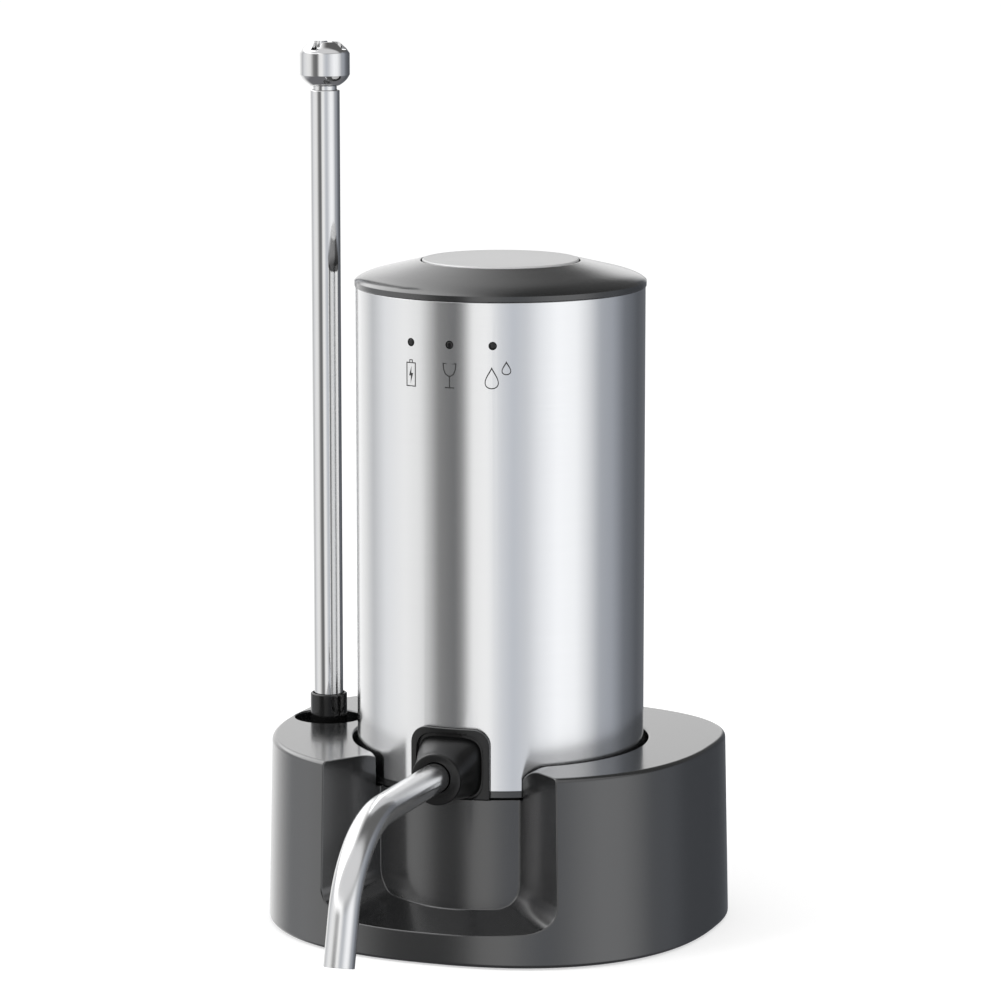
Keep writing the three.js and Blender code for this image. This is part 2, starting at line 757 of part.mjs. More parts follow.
function topCap() {
  const bandTop = sleeveTop + capBandHeight;
  const dome = capRadiusShares.map((share, i) => [capRadius * share, bandTop + capRise * capHeightShares[i]]);
  const skirtBore = insideRadius - capSkirtWall;
  const wellOutside = buttonWellRadius + buttonWellWall;
  const hole = stemRadius + runningGap;
  return turned([
    [hole, webBottom], [wellOutside, webBottom], [wellOutside, capTop - domeWall],
    [skirtBore, bandTop + capRise / 2 - domeWall], [skirtBore, sleeveTop - capSkirtLength],
    [insideRadius, sleeveTop - capSkirtLength], [insideRadius, sleeveTop], [capRadius, sleeveTop],
    ...dome,
    [buttonWellRadius, capTop - buttonChamfer], [buttonWellRadius, webTop], [hole, webTop], [hole, webBottom],
  ], bodySides);
}

function bottomCap() {
  const bore = insideRadius - spigotWall;
  const body = turned([
    [neckBoreRadius, -neckLength], [neckRadius, -neckLength], [neckRadius, 0], [sleeveRadius, 0],
    [sleeveRadius, ringHeight], [insideRadius, ringHeight], [insideRadius, spigotTop], [bore, spigotTop],
    [bore, capFloorThickness], [neckBoreRadius, capFloorThickness], [neckBoreRadius, -neckLength],
  ], bodySides);
  const elbowHalf = elbowRadius + seatGap;
  const neckHalf = bezelNeckHalfWidth + seatGap;
  const air = [airPortX, airPortY, 0];
  return cut(
    join(body, post(barbRadius, 0, airBarbTop).translate(...air)),
    block([-elbowHalf, -neckRadius - overrun, -elbowHalf], [elbowHalf, 0, spoutHeight]),
    block([-neckHalf, -capRadius, -overrun], [neckHalf, neckBackY + seatGap, spigotTop + overrun]),
    post(barbBoreRadius, -overrun, airBarbTop + overrun).translate(...air),
    ...capScrewPlaces().flatMap(([x, y]) => [
      post(capScrewRadius + seatGap, -overrun, capFloorThickness + overrun).translate(x, y, 0),
      post(capScrewHeadRadius + seatGap, -overrun, capScrewHeadHeight + seatGap).translate(x, y, 0),
    ]),
  );
}

// The three cap screws, one of them straight behind
function capScrewPlaces() {
  return [0, 1, 2].map((i) => {
    const angle = Math.PI / 2 + (2 * Math.PI * i) / 3;
    return [capScrewCircle * Math.cos(angle), capScrewCircle * Math.sin(angle)];
  });
}

function capScrew() {
  const shaftTop = capScrewHeadHeight + capScrewLength;
  return turned([
    [0, 0], [capScrewHeadRadius, 0], [capScrewHeadRadius, capScrewHeadHeight],
    [capScrewRadius, capScrewHeadHeight], [capScrewRadius, shaftTop], [0, shaftTop],
  ], pinSides);
}

function chassis() {
  const skirtBore = insideRadius - chassisWall;
  const skirtBottom = spigotTop + seatGap;
  const neckHalf = bezelNeckHalfWidth + seatGap;
  const halfWall = chassisWall / 2;
  const bossBottom = capFloorThickness + seatGap;
  const posts = [0, 1, 2].map((i) => {
    const angle = Math.PI / 6 + (2 * Math.PI * i) / 3;
    return post(postRadius, upperDeckTop - overrun, switchBoardBottom - seatGap)
      .translate(postCircle * Math.cos(angle), postCircle * Math.sin(angle), 0);
  });
  const bosses = capScrewPlaces().map(([x, y]) =>
    post(capScrewBossRadius, bossBottom, lowerDeckHeight + overrun).translate(x, y, 0));
  const bores = capScrewPlaces().map(([x, y]) =>
    post(capScrewRadius + seatGap, bossBottom - overrun, lowerDeckTop + overrun).translate(x, y, 0));
  const frame = join(
    post(insideRadius, lowerDeckHeight, lowerDeckTop, bodySides),
    tube(insideRadius, skirtBore, skirtBottom, lowerDeckTop, bodySides),
    post(insideRadius, upperDeckHeight, upperDeckTop, bodySides),
    block([partitionX - halfWall, -insideRadius * partitionFrontShare, lowerDeckTop - overrun],
      [partitionX + halfWall, insideRadius * partitionRearShare, upperDeckHeight + overrun]),
    ...posts,
    ...bosses,
  );
  return cut(
    frame,
    block([-neckHalf, -capRadius, skirtBottom - overrun], [neckHalf, -neckRadius, lowerDeckHeight]),
    block([-frontBoardHalfWidth - seatGap, frontBoardFront - seatGap, upperDeckHeight - overrun],
      [frontBoardHalfWidth + seatGap, frontBoardY + seatGap, upperDeckTop + overrun]),
    post(barbRadius + seatGap, lowerDeckHeight - overrun, lowerDeckTop + overrun)
      .translate(pumpX, bayCentreY, 0),
    post(wireHoleRadius, upperDeckHeight - overrun, upperDeckTop + overrun)
      .translate(batteryX, bayCentreY, 0),
    post(wireHoleRadius, upperDeckHeight - overrun, upperDeckTop + overrun)
      .translate(pumpX + terminalX, bayCentreY, 0),
    ...bores,
  );
}

// Button, spring and switch

function powerButton() {
  const skirtBore = buttonRadius - buttonSkirtWall;
  const skirtBottom = buttonUnderside - buttonSkirtHeight;
  return turned([
    [0, latchBottom], [latchRadius, latchBottom], [latchRadius, latchTop], [stemRadius, latchTop],
    [stemRadius, buttonUnderside], [skirtBore, buttonUnderside], [skirtBore, skirtBottom],
    [buttonRadius, skirtBottom], [buttonRadius, buttonTop - buttonChamfer],
    [buttonRadius - buttonChamfer, buttonTop], [0, buttonTop],
  ], bodySides);
}

class SpringPath extends THREE.Curve {
  getPoint(share, target = new THREE.Vector3()) {
    const bottom = webTop + seatGap + springWireRadius;
    const top = buttonUnderside - seatGap - springWireRadius;
    const angle = 2 * Math.PI * springTurns * share;
    return target.set(
      springRadius * Math.cos(angle),
      springRadius * Math.sin(angle),
      THREE.MathUtils.lerp(bottom, top, share),
    );
  }
}

function tactSwitch() {
  const half = switchWidth / 2;
  return join(
    block([-half, -half, switchBottom], [half, half, switchTop]),
    post(plungerRadius, switchTop - plungerHeight, plungerTop),
  );
}

// Spout, elbow, stem and stopper

function spoutPath() {
  const start = new THREE.Vector3(0, spoutStartY, spoutHeight);
  const turn = THREE.MathUtils.degToRad(spoutBendAngle);
  return new BentPath(start, 0, turn, spoutStartY - spoutBendY, spoutBendRadius, spoutTail);
}

function outletElbow() {
  const start = new THREE.Vector3(0, 0, spoutHeight - elbowBendRadius - elbowDrop);
  const lastRun = -spoutStartY - seatGap - elbowBendRadius;
  const path = new BentPath(start, -Math.PI / 2, 0, elbowDrop, elbowBendRadius, lastRun);
  return swept(ring(elbowRadius, elbowBoreRadius), path, pinSides, pinSides);
}

// The nose: a rounded block against the sleeve that narrows to a disc in front
function noseBlock() {
  const rootY = -sleeveRadius + bezelThickness;
  const pointCircle = disc(1);
  return reshape(pushedForward(pointCircle, rootY, -noseReach, pinSides), (point) => {
    const share = (rootY - point.y) / (rootY + noseReach);
    const [across, up] = [point.x, point.z];
    const squareness = noseSquareness;
    const halfHeight = noseHeight / 2;
    const squareReach = ((Math.abs(across) / noseHalfWidth) ** squareness
      + (Math.abs(up) / halfHeight) ** squareness) ** (-1 / squareness);
    const reach = THREE.MathUtils.lerp(squareReach, noseDiscRadius, share);
    point.x = across * reach;
    point.z = THREE.MathUtils.lerp(halfHeight, noseDiscHeight, share) + up * reach;
  });
}

function bezelPlate() {
  const outline = new THREE.Shape()
    .moveTo(-bezelHalfWidth, 0)
    .lineTo(bezelHalfWidth, 0)
    .lineTo(bezelHalfWidth, bezelHeight - bezelCornerRadius)
    .absarc(bezelHalfWidth - bezelCornerRadius, bezelHeight - bezelCornerRadius, bezelCornerRadius,
      0, Math.PI / 2)
    .lineTo(-bezelHalfWidth + bezelCornerRadius, bezelHeight)
    .absarc(-bezelHalfWidth + bezelCornerRadius, bezelHeight - bezelCornerRadius, bezelCornerRadius,
      Math.PI / 2, Math.PI);
  const inner = sleeveRadius + seatGap;
  const curved = tube(inner + bezelThickness, inner, -overrun, bezelHeight + overrun, bodySides);
  return common(curved, pushedForward(outline, 0, -noseReach));
}

function spoutBezel() {
  const sleeveSpace = post(sleeveRadius + seatGap, -overrun, bezelHeight + overrun, bodySides);
  const neck = pushedForward(
    roundedRectangle(bezelNeckHalfWidth, seatGap, bezelNeckTop, seatGap),
    neckBackY, -sleeveRadius - bezelThickness,
  );
  const body = join(cut(noseBlock(), sleeveSpace), bezelPlate(), neck);
  const hole = pushedForward(disc(spoutRadius + spoutHoleGap), 0, -noseReach - overrun, pinSides);
  const sealSeat = pushedForward(
    disc(spoutRadius + spoutHoleGap + sealWall + seatGap), 0, neckBackY - sealWidth - seatGap, pinSides);
  return cut(body, hole.translate(0, 0, spoutHeight), sealSeat.translate(0, 0, spoutHeight));
}

function spoutSeal() {
  const bore = spoutRadius + spoutHoleGap;
  return pushedForward(ring(bore + sealWall, bore), neckBackY, neckBackY - sealWidth, pinSides)
    .translate(0, 0, spoutHeight);
}

function inletStem() {
  const bottom = -stemReach;
  const flangeTop = spoutHeight - elbowBendRadius - elbowDrop - seatGap;
  const flangeBottom = flangeTop - stemFlangeThickness;
  const groove = stemTubeRadius - inletSealRadius;
  const grooveBottom = bottom + inletSealHeight - inletSealRadius - seatGap;
  const grooveTop = bottom + inletSealHeight + inletSealRadius + seatGap;
  const flangeRadius = neckBoreRadius - seatGap;
  return turned([
    [stemBoreRadius, bottom], [stemTubeRadius, bottom], [stemTubeRadius, grooveBottom],
    [groove, grooveBottom], [groove, grooveTop], [stemTubeRadius, grooveTop],
    [stemTubeRadius, flangeBottom], [flangeRadius, flangeBottom], [flangeRadius, flangeTop],
    [stemBoreRadius, flangeTop], [stemBoreRadius, bottom],
  ], ringSides);
}

function inletSeal() {
  const middle = stemTubeRadius - inletSealRadius + seatGap + inletSealRadius;
  return new THREE.TorusGeometry(middle, inletSealRadius, wireSides, ringSides)
    .translate(0, 0, -stemReach + inletSealHeight);
}

function bottleStopper() {
  const bore = neckRadius + seatGap;
  const wallRadius = bore + stopperWall;
  const top = -seatGap;
  const flangeBottom = top - stopperFlangeThickness;
  const bottom = top - stopperLength;
  const pitch = (flangeBottom - bottom) / (stopperRibCount + 1);
  const outside = [[bore, bottom], [wallRadius, bottom]];
  for (let i = 0; i < stopperRibCount; i += 1) {
    const foot = bottom + pitch * (i + 1 - stopperRibHeightShare);
    const head = foot + pitch * stopperRibHeightShare;
    const share = i / (stopperRibCount - 1);
    outside.push([wallRadius, foot], [THREE.MathUtils.lerp(stopperTipRadius, stopperRibRadius, share), head]);
    outside.push([wallRadius, head]);
  }
  outside.push([wallRadius, flangeBottom], [stopperFlangeRadius, flangeBottom]);
  outside.push([stopperFlangeRadius, top], [bore, top], [bore, bottom]);
  return turned(outside, ringSides);
}

// Boards, indicators, socket, battery and wires

function lamp(angle) {
  const front = frontBoardFront - seatGap;
  const middleX = -Math.tan(THREE.MathUtils.degToRad(angle)) * (front - lampDepth / 2);
  return block(
    [middleX - lampWidth / 2, front - lampDepth, indicatorHeight - lampWidth / 2],
    [middleX + lampWidth / 2, front, indicatorHeight + lampWidth / 2],
  );
}

function lens(angle) {
  const lampFront = lampDepth + 2 * seatGap - frontBoardFront;
  const inner = lampFront / Math.cos(THREE.MathUtils.degToRad(angle)) + seatGap;
  return lyingPost(lensRadius, inner, sleeveRadius, angle);
}

function chargingSocket() {
  const rear = sleeveRadius - socketInset;
  const half = socketWidth / 2;
  const reach = socketThickness / 2;
  const tongueReach = socketTongueThickness / 2;
  const boardRear = chargeBoardY + chargeBoardThickness;
  const body = pushedForward(
    roundedRectangle(half, socketHeight - reach, socketHeight + reach, reach), rear, boardRear + seatGap);
  const mouthReach = reach - socketWall;
  const mouth = pushedForward(
    roundedRectangle(half - socketWall, socketHeight - mouthReach, socketHeight + mouthReach, mouthReach),
    rear + overrun, rear - socketMouthDepth);
  const tongue = block(
    [-socketTongueWidth / 2, rear - socketMouthDepth - overrun, socketHeight - tongueReach],
    [socketTongueWidth / 2, rear - socketInset, socketHeight + tongueReach],
  );
  return join(cut(body, mouth), tongue);
}

function battery() {
  return turned([
    [0, bayFloor], [batteryRadius, bayFloor], [batteryRadius, batteryTop], [batteryNubRadius, batteryTop],
    [batteryNubRadius, batteryTop + batteryNubHeight], [0, batteryTop + batteryNubHeight],
  ], ringSides);
}

// A wire that rises from a terminal, through its hole in the upper deck, to the switch board
function risingWire(x, bottom) {
  const top = switchBoardBottom - seatGap;
  const bulge = wireHoleRadius - wireRadius - seatGap;
  const path = new THREE.CatmullRomCurve3([
    new THREE.Vector3(x, bayCentreY, bottom),
    new THREE.Vector3(x, bayCentreY, upperDeckTop),
    new THREE.Vector3(x + bulge, bayCentreY, (upperDeckTop + top) / 2),
    new THREE.Vector3(x, bayCentreY, top),
  ]);
  return swept(disc(wireRadius), path, 2 * wireSides, wireSides);
}

function airHose() {
  const low = airBarbTop + seatGap;
  const high = pumpBarbBottom - seatGap;
  const rise = (high - low) / 3;
  const path = new THREE.CubicBezierCurve3(
    new THREE.Vector3(airPortX, airPortY, low),
    new THREE.Vector3(airPortX, airPortY, low + rise),
    new THREE.Vector3(pumpX, bayCentreY, high - rise),
    new THREE.Vector3(pumpX, bayCentreY, high),
  );
  return swept(ring(barbRadius, barbRadius - hoseWall), path, wireSides, pinSides);
}

// Air pump and motor, about the motor's own axis

function aroundCups(make) {
  const cups = [];
  for (let i = 0; i < cupCount; i += 1) {
    const angle = (2 * Math.PI * i) / cupCount;
    cups.push(make().translate(cupCircle * Math.cos(angle), cupCircle * Math.sin(angle), 0));
  }
  return cups;
}

function pumpCover() {
  const body = join(
    post(pumpRadius, bayFloor, coverTop, ringSides),
    post(barbRadius, pumpBarbBottom, bayFloor + overrun),
  );
  const pocketFloor = coverTop - cupDepth - seatGap;
  const pockets = aroundCups(() => post(cupRadius + runningGap, pocketFloor, coverTop + overrun));
  const airWay = post(barbBoreRadius, pumpBarbBottom - overrun, bayFloor + overrun);
  return cut(body, airWay, ...pockets);
}

function diaphragm() {
  const bottom = coverTop + seatGap;
  const cups = aroundCups(() => post(cupRadius, bottom - cupDepth, bottom + overrun));
  return join(post(pumpRadius, bottom, diaphragmTop, ringSides), ...cups);
}

function drivePlate() {
  return turned([
    [0, housingBottom], [drivePlateRadius, housingBottom], [drivePlateRadius, drivePlateTop],
    [drivePinRadius, drivePlateTop], [drivePinRadius, drivePlateTop + drivePinLength],
    [0, drivePlateTop + drivePinLength],
  ], ringSides);
}

function pumpHousing() {
  const bore = pumpRadius - pumpHousingWall;
  const hole = shaftRadius + runningGap;
  const roofBottom = housingTop - pumpHousingWall;
  return turned([
    [bore, housingBottom], [pumpRadius, housingBottom], [pumpRadius, housingTop], [hole, housingTop],
    [hole, roofBottom], [bore, roofBottom], [bore, housingBottom],
  ], ringSides);
}

function motorCan() {
  const bore = motorRadius - motorWall;
  const hole = shaftRadius + runningGap;
  const floorTop = motorBottom + motorWall;
  return turned([
    [hole, motorBottom], [motorRadius, motorBottom], [motorRadius, motorTop], [bore, motorTop],
    [bore, floorTop], [hole, floorTop], [hole, motorBottom],
  ], ringSides);
}

function motorMagnet() {
  const bottom = motorBottom + (motorLength - magnetLength) / 2;
  return tube(magnetRadius, magnetRadius - magnetWall, bottom, bottom + magnetLength);
}

function motorEndCap() {
  const bottom = motorTop + seatGap;
  const body = tube(motorRadius, shaftRadius + runningGap, bottom, endCapTop);
  const terminals = [-1, 1].map((side) => block(
    [side * terminalX - terminalThickness / 2, -terminalWidth / 2, bottom],
    [side * terminalX + terminalThickness / 2, terminalWidth / 2, endCapTop + terminalHeight],
  ));
  return join(body, ...terminals);
}

function rotorCore() {
  const bottom = motorBottom + (motorLength - coreLength) / 2;
  const top = bottom + coreLength;
  const slots = [0, 1, 2].map((i) => block(
    [coreRadius / 2, -coreSlotWidth / 2, bottom - overrun],
    [coreRadius + overrun, coreSlotWidth / 2, top + overrun],
  ).rotateZ((2 * Math.PI * i) / 3));
  return cut(tube(coreRadius, shaftRadius + seatGap, bottom, top), ...slots);
}

function pumpCrank() {
  const body = cut(
    post(crankRadius, crankBottom, crankTop, ringSides),
    post(crankRecessRadius, crankBottom - overrun, crankBottom + crankRecessDepth),
    post(shaftRadius + seatGap, crankBottom + crankRecessDepth, crankTop + overrun),
  );
  return cut(body, block(
    [crankFlat, -crankRadius - overrun, crankBottom - overrun],
    [crankRadius + overrun, crankRadius + overrun, crankTop + overrun],
  ));
}

function buildRotor() {
  const group = new THREE.Group();
  const shaftBottom = crankBottom + crankRecessDepth + seatGap;
  place(group, "motor_shaft", post(shaftRadius, shaftBottom, endCapTop), polishedSteel());
  place(group, "rotor_core", rotorCore(), magnetGrey());
  place(group, "pump_crank", pumpCrank(), whitePlastic());
  return group;
}

function buildPump() {
  const group = new THREE.Group();
  place(group, "pump_cover", pumpCover(), whitePlastic());
  place(group, "pump_diaphragm", diaphragm(), blackRubber());
  place(group, "drive_plate", drivePlate(), whitePlastic());
  place(group, "pump_housing", pumpHousing(), whitePlastic());
  place(group, "motor_can", motorCan(), brushedSteel());
  place(group, "motor_magnet", motorMagnet(), magnetGrey());
  place(group, "motor_end_cap", motorEndCap(), darkPlastic());
  group.add(buildRotor());
  group.position.set(pumpX, bayCentreY, 0);
  return group;
}

function buildBoards() {
  const group = new THREE.Group();
  const frontBoard = block(
    [-frontBoardHalfWidth, frontBoardFront, bayFloor],
    [frontBoardHalfWidth, frontBoardY, frontBoardTop],
  );
  const chargeBoard = block(
    [-chargeBoardHalfWidth, chargeBoardY, bayFloor],
    [chargeBoardHalfWidth, chargeBoardY + chargeBoardThickness, bayFloor + chargeBoardHeight],
  );
  place(group, "front_board", frontBoard, boardGreen());
  place(group, "charge_board", chargeBoard, boardGreen());
  place(group, "switch_board", post(switchBoardRadius, switchBoardBottom, switchBoardTop, ringSides),
    boardGreen());
  place(group, "tact_switch", tactSwitch(), darkPlastic());
  place(group, "charging_socket", chargingSocket(), brushedSteel());
  indicatorAngles.forEach((angle, i) => {
    place(group, `indicator_lamp_${i + 1}`, lamp(angle), whitePlastic());
    place(group, `indicator_lens_${i + 1}`, lens(angle), tintedLens());
  });
  return group;
}

function buildSpout() {
  const group = new THREE.Group();
  place(group, "spout_bezel", spoutBezel(), blackRubber());
  place(group, "spout_seal", spoutSeal(), blackRubber());
  place(group, "spout_tube", swept(ring(spoutRadius, spoutRadius - spoutWall), spoutPath(), spoutSteps,
    spoutSides), polishedSteel());
  place(group, "outlet_elbow", outletElbow(), clearSilicone());
  return group;
}

function buildStopper() {
  const group = new THREE.Group();
  place(group, "inlet_stem", inletStem(), polishedSteel());
  place(group, "inlet_seal", inletSeal(), blackRubber());
  place(group, "bottle_stopper", bottleStopper(), blackRubber());
  return group;
}

function buildDispenser() {
  const group = new THREE.Group();
  place(group, "outer_sleeve", outerSleeve(), brushedSteel());
  place(group, "top_cap", topCap(), darkPlastic());
  place(group, "power_button", powerButton(), lightSatin());
  const coil = swept(disc(springWireRadius), new SpringPath(), springTurns * pinSides, wireSides);
  place(group, "button_spring", coil, polishedSteel());
  place(group, "bottom_cap", bottomCap(), darkPlastic());
  place(group, "chassis", chassis(), whitePlastic());
  place(group, "battery", battery().translate(batteryX, bayCentreY, 0), blueWrap());
  const batteryWireBottom = batteryTop + batteryNubHeight + seatGap;
  place(group, "battery_wire", risingWire(batteryX, batteryWireBottom), copperWire());
  const motorWireBottom = endCapTop + terminalHeight + seatGap;
  place(group, "motor_wire", risingWire(pumpX + terminalX, motorWireBottom), copperWire());
  place(group, "air_hose", airHose(), clearSilicone());
  capScrewPlaces().forEach(([x, y], i) => {
    place(group, `cap_screw_${i + 1}`, capScrew(), polishedSteel()).position.set(x, y, 0);
  });
  group.add(buildPump(), buildBoards(), buildSpout(), buildStopper());
  group.position.z = dispenserRest;
  return group;
}

// Telescopic suction tube

function collar() {
  const bore = outerTubeRadius + seatGap;
  return turned([
    [bore, collarBottom], [collarRadius, collarBottom], [collarRadius, collarTop - collarShoulder],
    [collarRadius - collarShoulder / 2, collarTop], [bore, collarTop], [bore, collarBottom],
  ], ringSides);
}

function outerTube() {
  const bore = outerTubeRadius - outerTubeWall;
  const lipBore = innerTubeRadius + tubeRunningGap;
  return turned([
    [bore, collarBottom], [outerTubeRadius, collarBottom], [outerTubeRadius, outerTubeTop - outerTubeLip],
    [outerTubeRadius - outerTubeLip / 2, outerTubeTop], [lipBore, outerTubeTop],
    [lipBore, outerTubeTop - outerTubeLip], [bore, outerTubeTop - outerTubeLip], [bore, collarBottom],
  ], ringSides);
}

// The foot's round outside, its bore and the cross slots in its top
function inletFoot() {
  const outside = footRadiusShares.map((share, i) =>
    [footRadius * share, footBottom + footHeight * footHeightShares[i]]);
  const body = turned([[0, footBottom], ...outside, [0, footTop]], ringSides);
  const socket = post(innerTubeRadius + seatGap, footBottom - overrun, footBottom + footFloor, ringSides);
  const bore = post(footBoreRadius, footBottom, footTop + overrun, ringSides);
  const slots = [0, 1].map((i) => block(
    [-footSlotWidth / 2, -footRadius - overrun, footTop - footSlotDepth],
    [footSlotWidth / 2, footRadius + overrun, footTop + overrun],
  ).rotateZ(THREE.MathUtils.degToRad(footSlotAngle) + (i * Math.PI) / 2));
  return cut(body, socket, bore, ...slots);
}

function buildInnerTube() {
  const group = new THREE.Group();
  const top = footBottom + footFloor - seatGap;
  const gripTop = innerTubeBottom - seatGap;
  const gripRadius = outerTubeRadius - outerTubeWall - tubeRunningGap;
  place(group, "inner_tube", tube(innerTubeRadius, innerTubeRadius - innerTubeWall, innerTubeBottom, top),
    polishedSteel());
  place(group, "inlet_foot", inletFoot(), polishedSteel());
  const grip = tube(gripRadius, innerTubeRadius - innerTubeWall, gripTop - gripHeight, gripTop);
  place(group, "friction_ring", grip, whitePlastic());
  return group;
}

function buildSuctionTube() {
  const group = new THREE.Group();
  place(group, "outer_tube", outerTube(), polishedSteel());
  place(group, "tube_collar", collar(), blackGloss());
  group.add(buildInnerTube());
  group.position.set(tubeX, tubeY, 0);
  return group;
}

const group = new THREE.Group();
group.add(buildBase(), buildDispenser(), buildSuctionTube());

export default group;
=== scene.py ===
import math

import bpy
from mathutils import Matrix, Vector


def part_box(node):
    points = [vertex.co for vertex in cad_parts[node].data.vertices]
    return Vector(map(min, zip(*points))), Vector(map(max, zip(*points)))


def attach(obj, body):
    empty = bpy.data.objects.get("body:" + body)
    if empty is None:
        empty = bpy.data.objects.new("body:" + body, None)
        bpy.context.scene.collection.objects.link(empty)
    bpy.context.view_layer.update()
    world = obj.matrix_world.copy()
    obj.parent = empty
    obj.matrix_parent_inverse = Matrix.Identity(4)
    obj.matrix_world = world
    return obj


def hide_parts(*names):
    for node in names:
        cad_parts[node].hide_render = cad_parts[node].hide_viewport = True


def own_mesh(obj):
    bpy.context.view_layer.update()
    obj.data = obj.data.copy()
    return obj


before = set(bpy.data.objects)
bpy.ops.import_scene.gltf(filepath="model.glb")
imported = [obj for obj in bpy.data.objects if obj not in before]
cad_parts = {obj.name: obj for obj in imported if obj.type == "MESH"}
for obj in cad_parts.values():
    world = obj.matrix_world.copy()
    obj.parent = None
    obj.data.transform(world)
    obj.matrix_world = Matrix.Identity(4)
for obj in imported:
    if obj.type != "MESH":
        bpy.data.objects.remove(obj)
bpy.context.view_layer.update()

MM = 0.001
EDGE = 1 * MM


# Camera, at the photograph's angle

CAMERA_ABOVE = 9.587
CAMERA_ROUND = 20
camera_data = bpy.data.cameras.new("camera")
camera_data.lens = 159.57
camera_data.sensor_width = 36
camera = bpy.data.objects.new("camera", camera_data)
camera.location = (0.3117, -0.8564, 0.2433)
camera.rotation_euler = (math.radians(90 - CAMERA_ABOVE), 0, math.radians(CAMERA_ROUND))
bpy.context.scene.collection.objects.link(camera)
bpy.context.scene.camera = camera


# Tools of the bench

def deselect_all():
    if bpy.context.mode != "OBJECT":
        bpy.ops.object.mode_set(mode="OBJECT")
    bpy.ops.object.select_all(action="DESELECT")


def pick(piece):
    deselect_all()
    piece.select_set(True)
    bpy.context.view_layer.objects.active = piece


def settle(piece):
    """Applies the piece's place, merges its doubles and turns its faces outwards."""
    pick(piece)
    bpy.ops.object.transform_apply(location=True, rotation=True, scale=True)
    bpy.ops.object.mode_set(mode="EDIT")
    bpy.ops.mesh.select_all(action="SELECT")
    bpy.ops.mesh.remove_doubles(threshold=0.002 * MM)
    bpy.ops.mesh.normals_make_consistent(inside=False)
    bpy.ops.object.mode_set(mode="OBJECT")
    return piece


def turned(name, profile, centre=(0, 0), sides=96):
    """Turns a profile of (radius, height) points round an upright axis.

    A profile that ends where it starts gives a ring. Any other gives a solid with flat ends.
    """
    closed = profile[0] == profile[-1]
    radius, height = profile[0]
    fill = "NOTHING" if closed else "NGON"
    deselect_all()
    bpy.ops.mesh.primitive_circle_add(vertices=sides, radius=radius, fill_type=fill,
                                      location=(centre[0], centre[1], height))
    piece = bpy.context.object
    piece.name = name
    bpy.ops.object.mode_set(mode="EDIT")
    for next_radius, next_height in profile[1:]:
        step = (0, 0, next_height - height)
        if closed:
            bpy.ops.mesh.extrude_edges_move(TRANSFORM_OT_translate={"value": step})
        else:
            bpy.ops.mesh.extrude_region_move(TRANSFORM_OT_translate={"value": step})
        share = next_radius / radius
        if share != 1:
            bpy.ops.transform.resize(value=(share, share, 1), center_override=(*centre, next_height))
        radius = next_radius
        height = next_height
    bpy.ops.object.mode_set(mode="OBJECT")
    return settle(piece)


def arc(centre, radius, start, end, steps=6):
    """Points of a round edge, between two angles in degrees."""
    angles = [math.radians(start + (end - start) * i / steps) for i in range(steps + 1)]
    return [(centre[0] + radius * math.cos(a), centre[1] + radius * math.sin(a)) for a in angles]


def smooth_line(points, steps=6):
    """A smooth line through points, as a bent spline gives."""
    ends = [points[0]] + list(points) + [points[-1]]
    line = []
    for i in range(1, len(ends) - 2):
        before, here, there, after = ends[i - 1:i + 3]
        for step in range(steps):
            t = step / steps
            line.append(tuple(
                0.5 * (2 * b + (c - a) * t + (2 * a - 5 * b + 4 * c - d) * t ** 2
                       + (3 * b - a - 3 * c + d) * t ** 3)
                for a, b, c, d in zip(before, here, there, after)))
    return line + [tuple(points[-1])]


def rounded_plate(half_width, low, high, radius, steps=6):
    """Outline of a plate with round corners, standing in the XZ plane."""
    outline = []
    for corner_x, corner_z, start in (
            (half_width - radius, low + radius, -90), (half_width - radius, high - radius, 0),
            (radius - half_width, high - radius, 90), (radius - half_width, low + radius, 180)):
        outline += arc((corner_x, corner_z), radius, start, start + 90, steps)
    return outline


def drawn(name, outline, depth):
    """A filled outline in the XZ plane at that depth. It is left in edit mode, ready to be extruded."""
    deselect_all()
    mesh = bpy.data.meshes.new(name)
    points = [(x, depth, z) for x, z in outline]
    edges = [(i, (i + 1) % len(points)) for i in range(len(points))]
    mesh.from_pydata(points, edges, [])
    piece = bpy.data.objects.new(name, mesh)
    bpy.context.scene.collection.objects.link(piece)
    pick(piece)
    bpy.ops.object.mode_set(mode="EDIT")
    bpy.ops.mesh.select_all(action="SELECT")
    bpy.ops.mesh.edge_face_add()
    return piece


def pushed(name, outline, depth, step):
    """An outline in the XZ plane, extruded by that step."""
    piece = drawn(name, outline, depth)
    bpy.ops.mesh.extrude_region_move(TRANSFORM_OT_translate={"value": step})
    bpy.ops.object.mode_set(mode="OBJECT")
    return settle(piece)


def reshape(piece, rule):
    """Moves each point of a piece to where the rule puts it."""
    for vertex in piece.data.vertices:
        vertex.co = rule(vertex.co)
    return settle(piece)


def combine(piece, tool, operation="DIFFERENCE"):
    """Cuts the tool out of the piece, or joins or crosses the two. The tool is used up."""
    pick(piece)
    modifier = piece.modifiers.new("combine", "BOOLEAN")
    modifier.operation = operation
    modifier.solver = "EXACT"
    modifier.object = tool
    bpy.ops.object.modifier_apply(modifier=modifier.name)
    bpy.data.objects.remove(tool)
    return piece


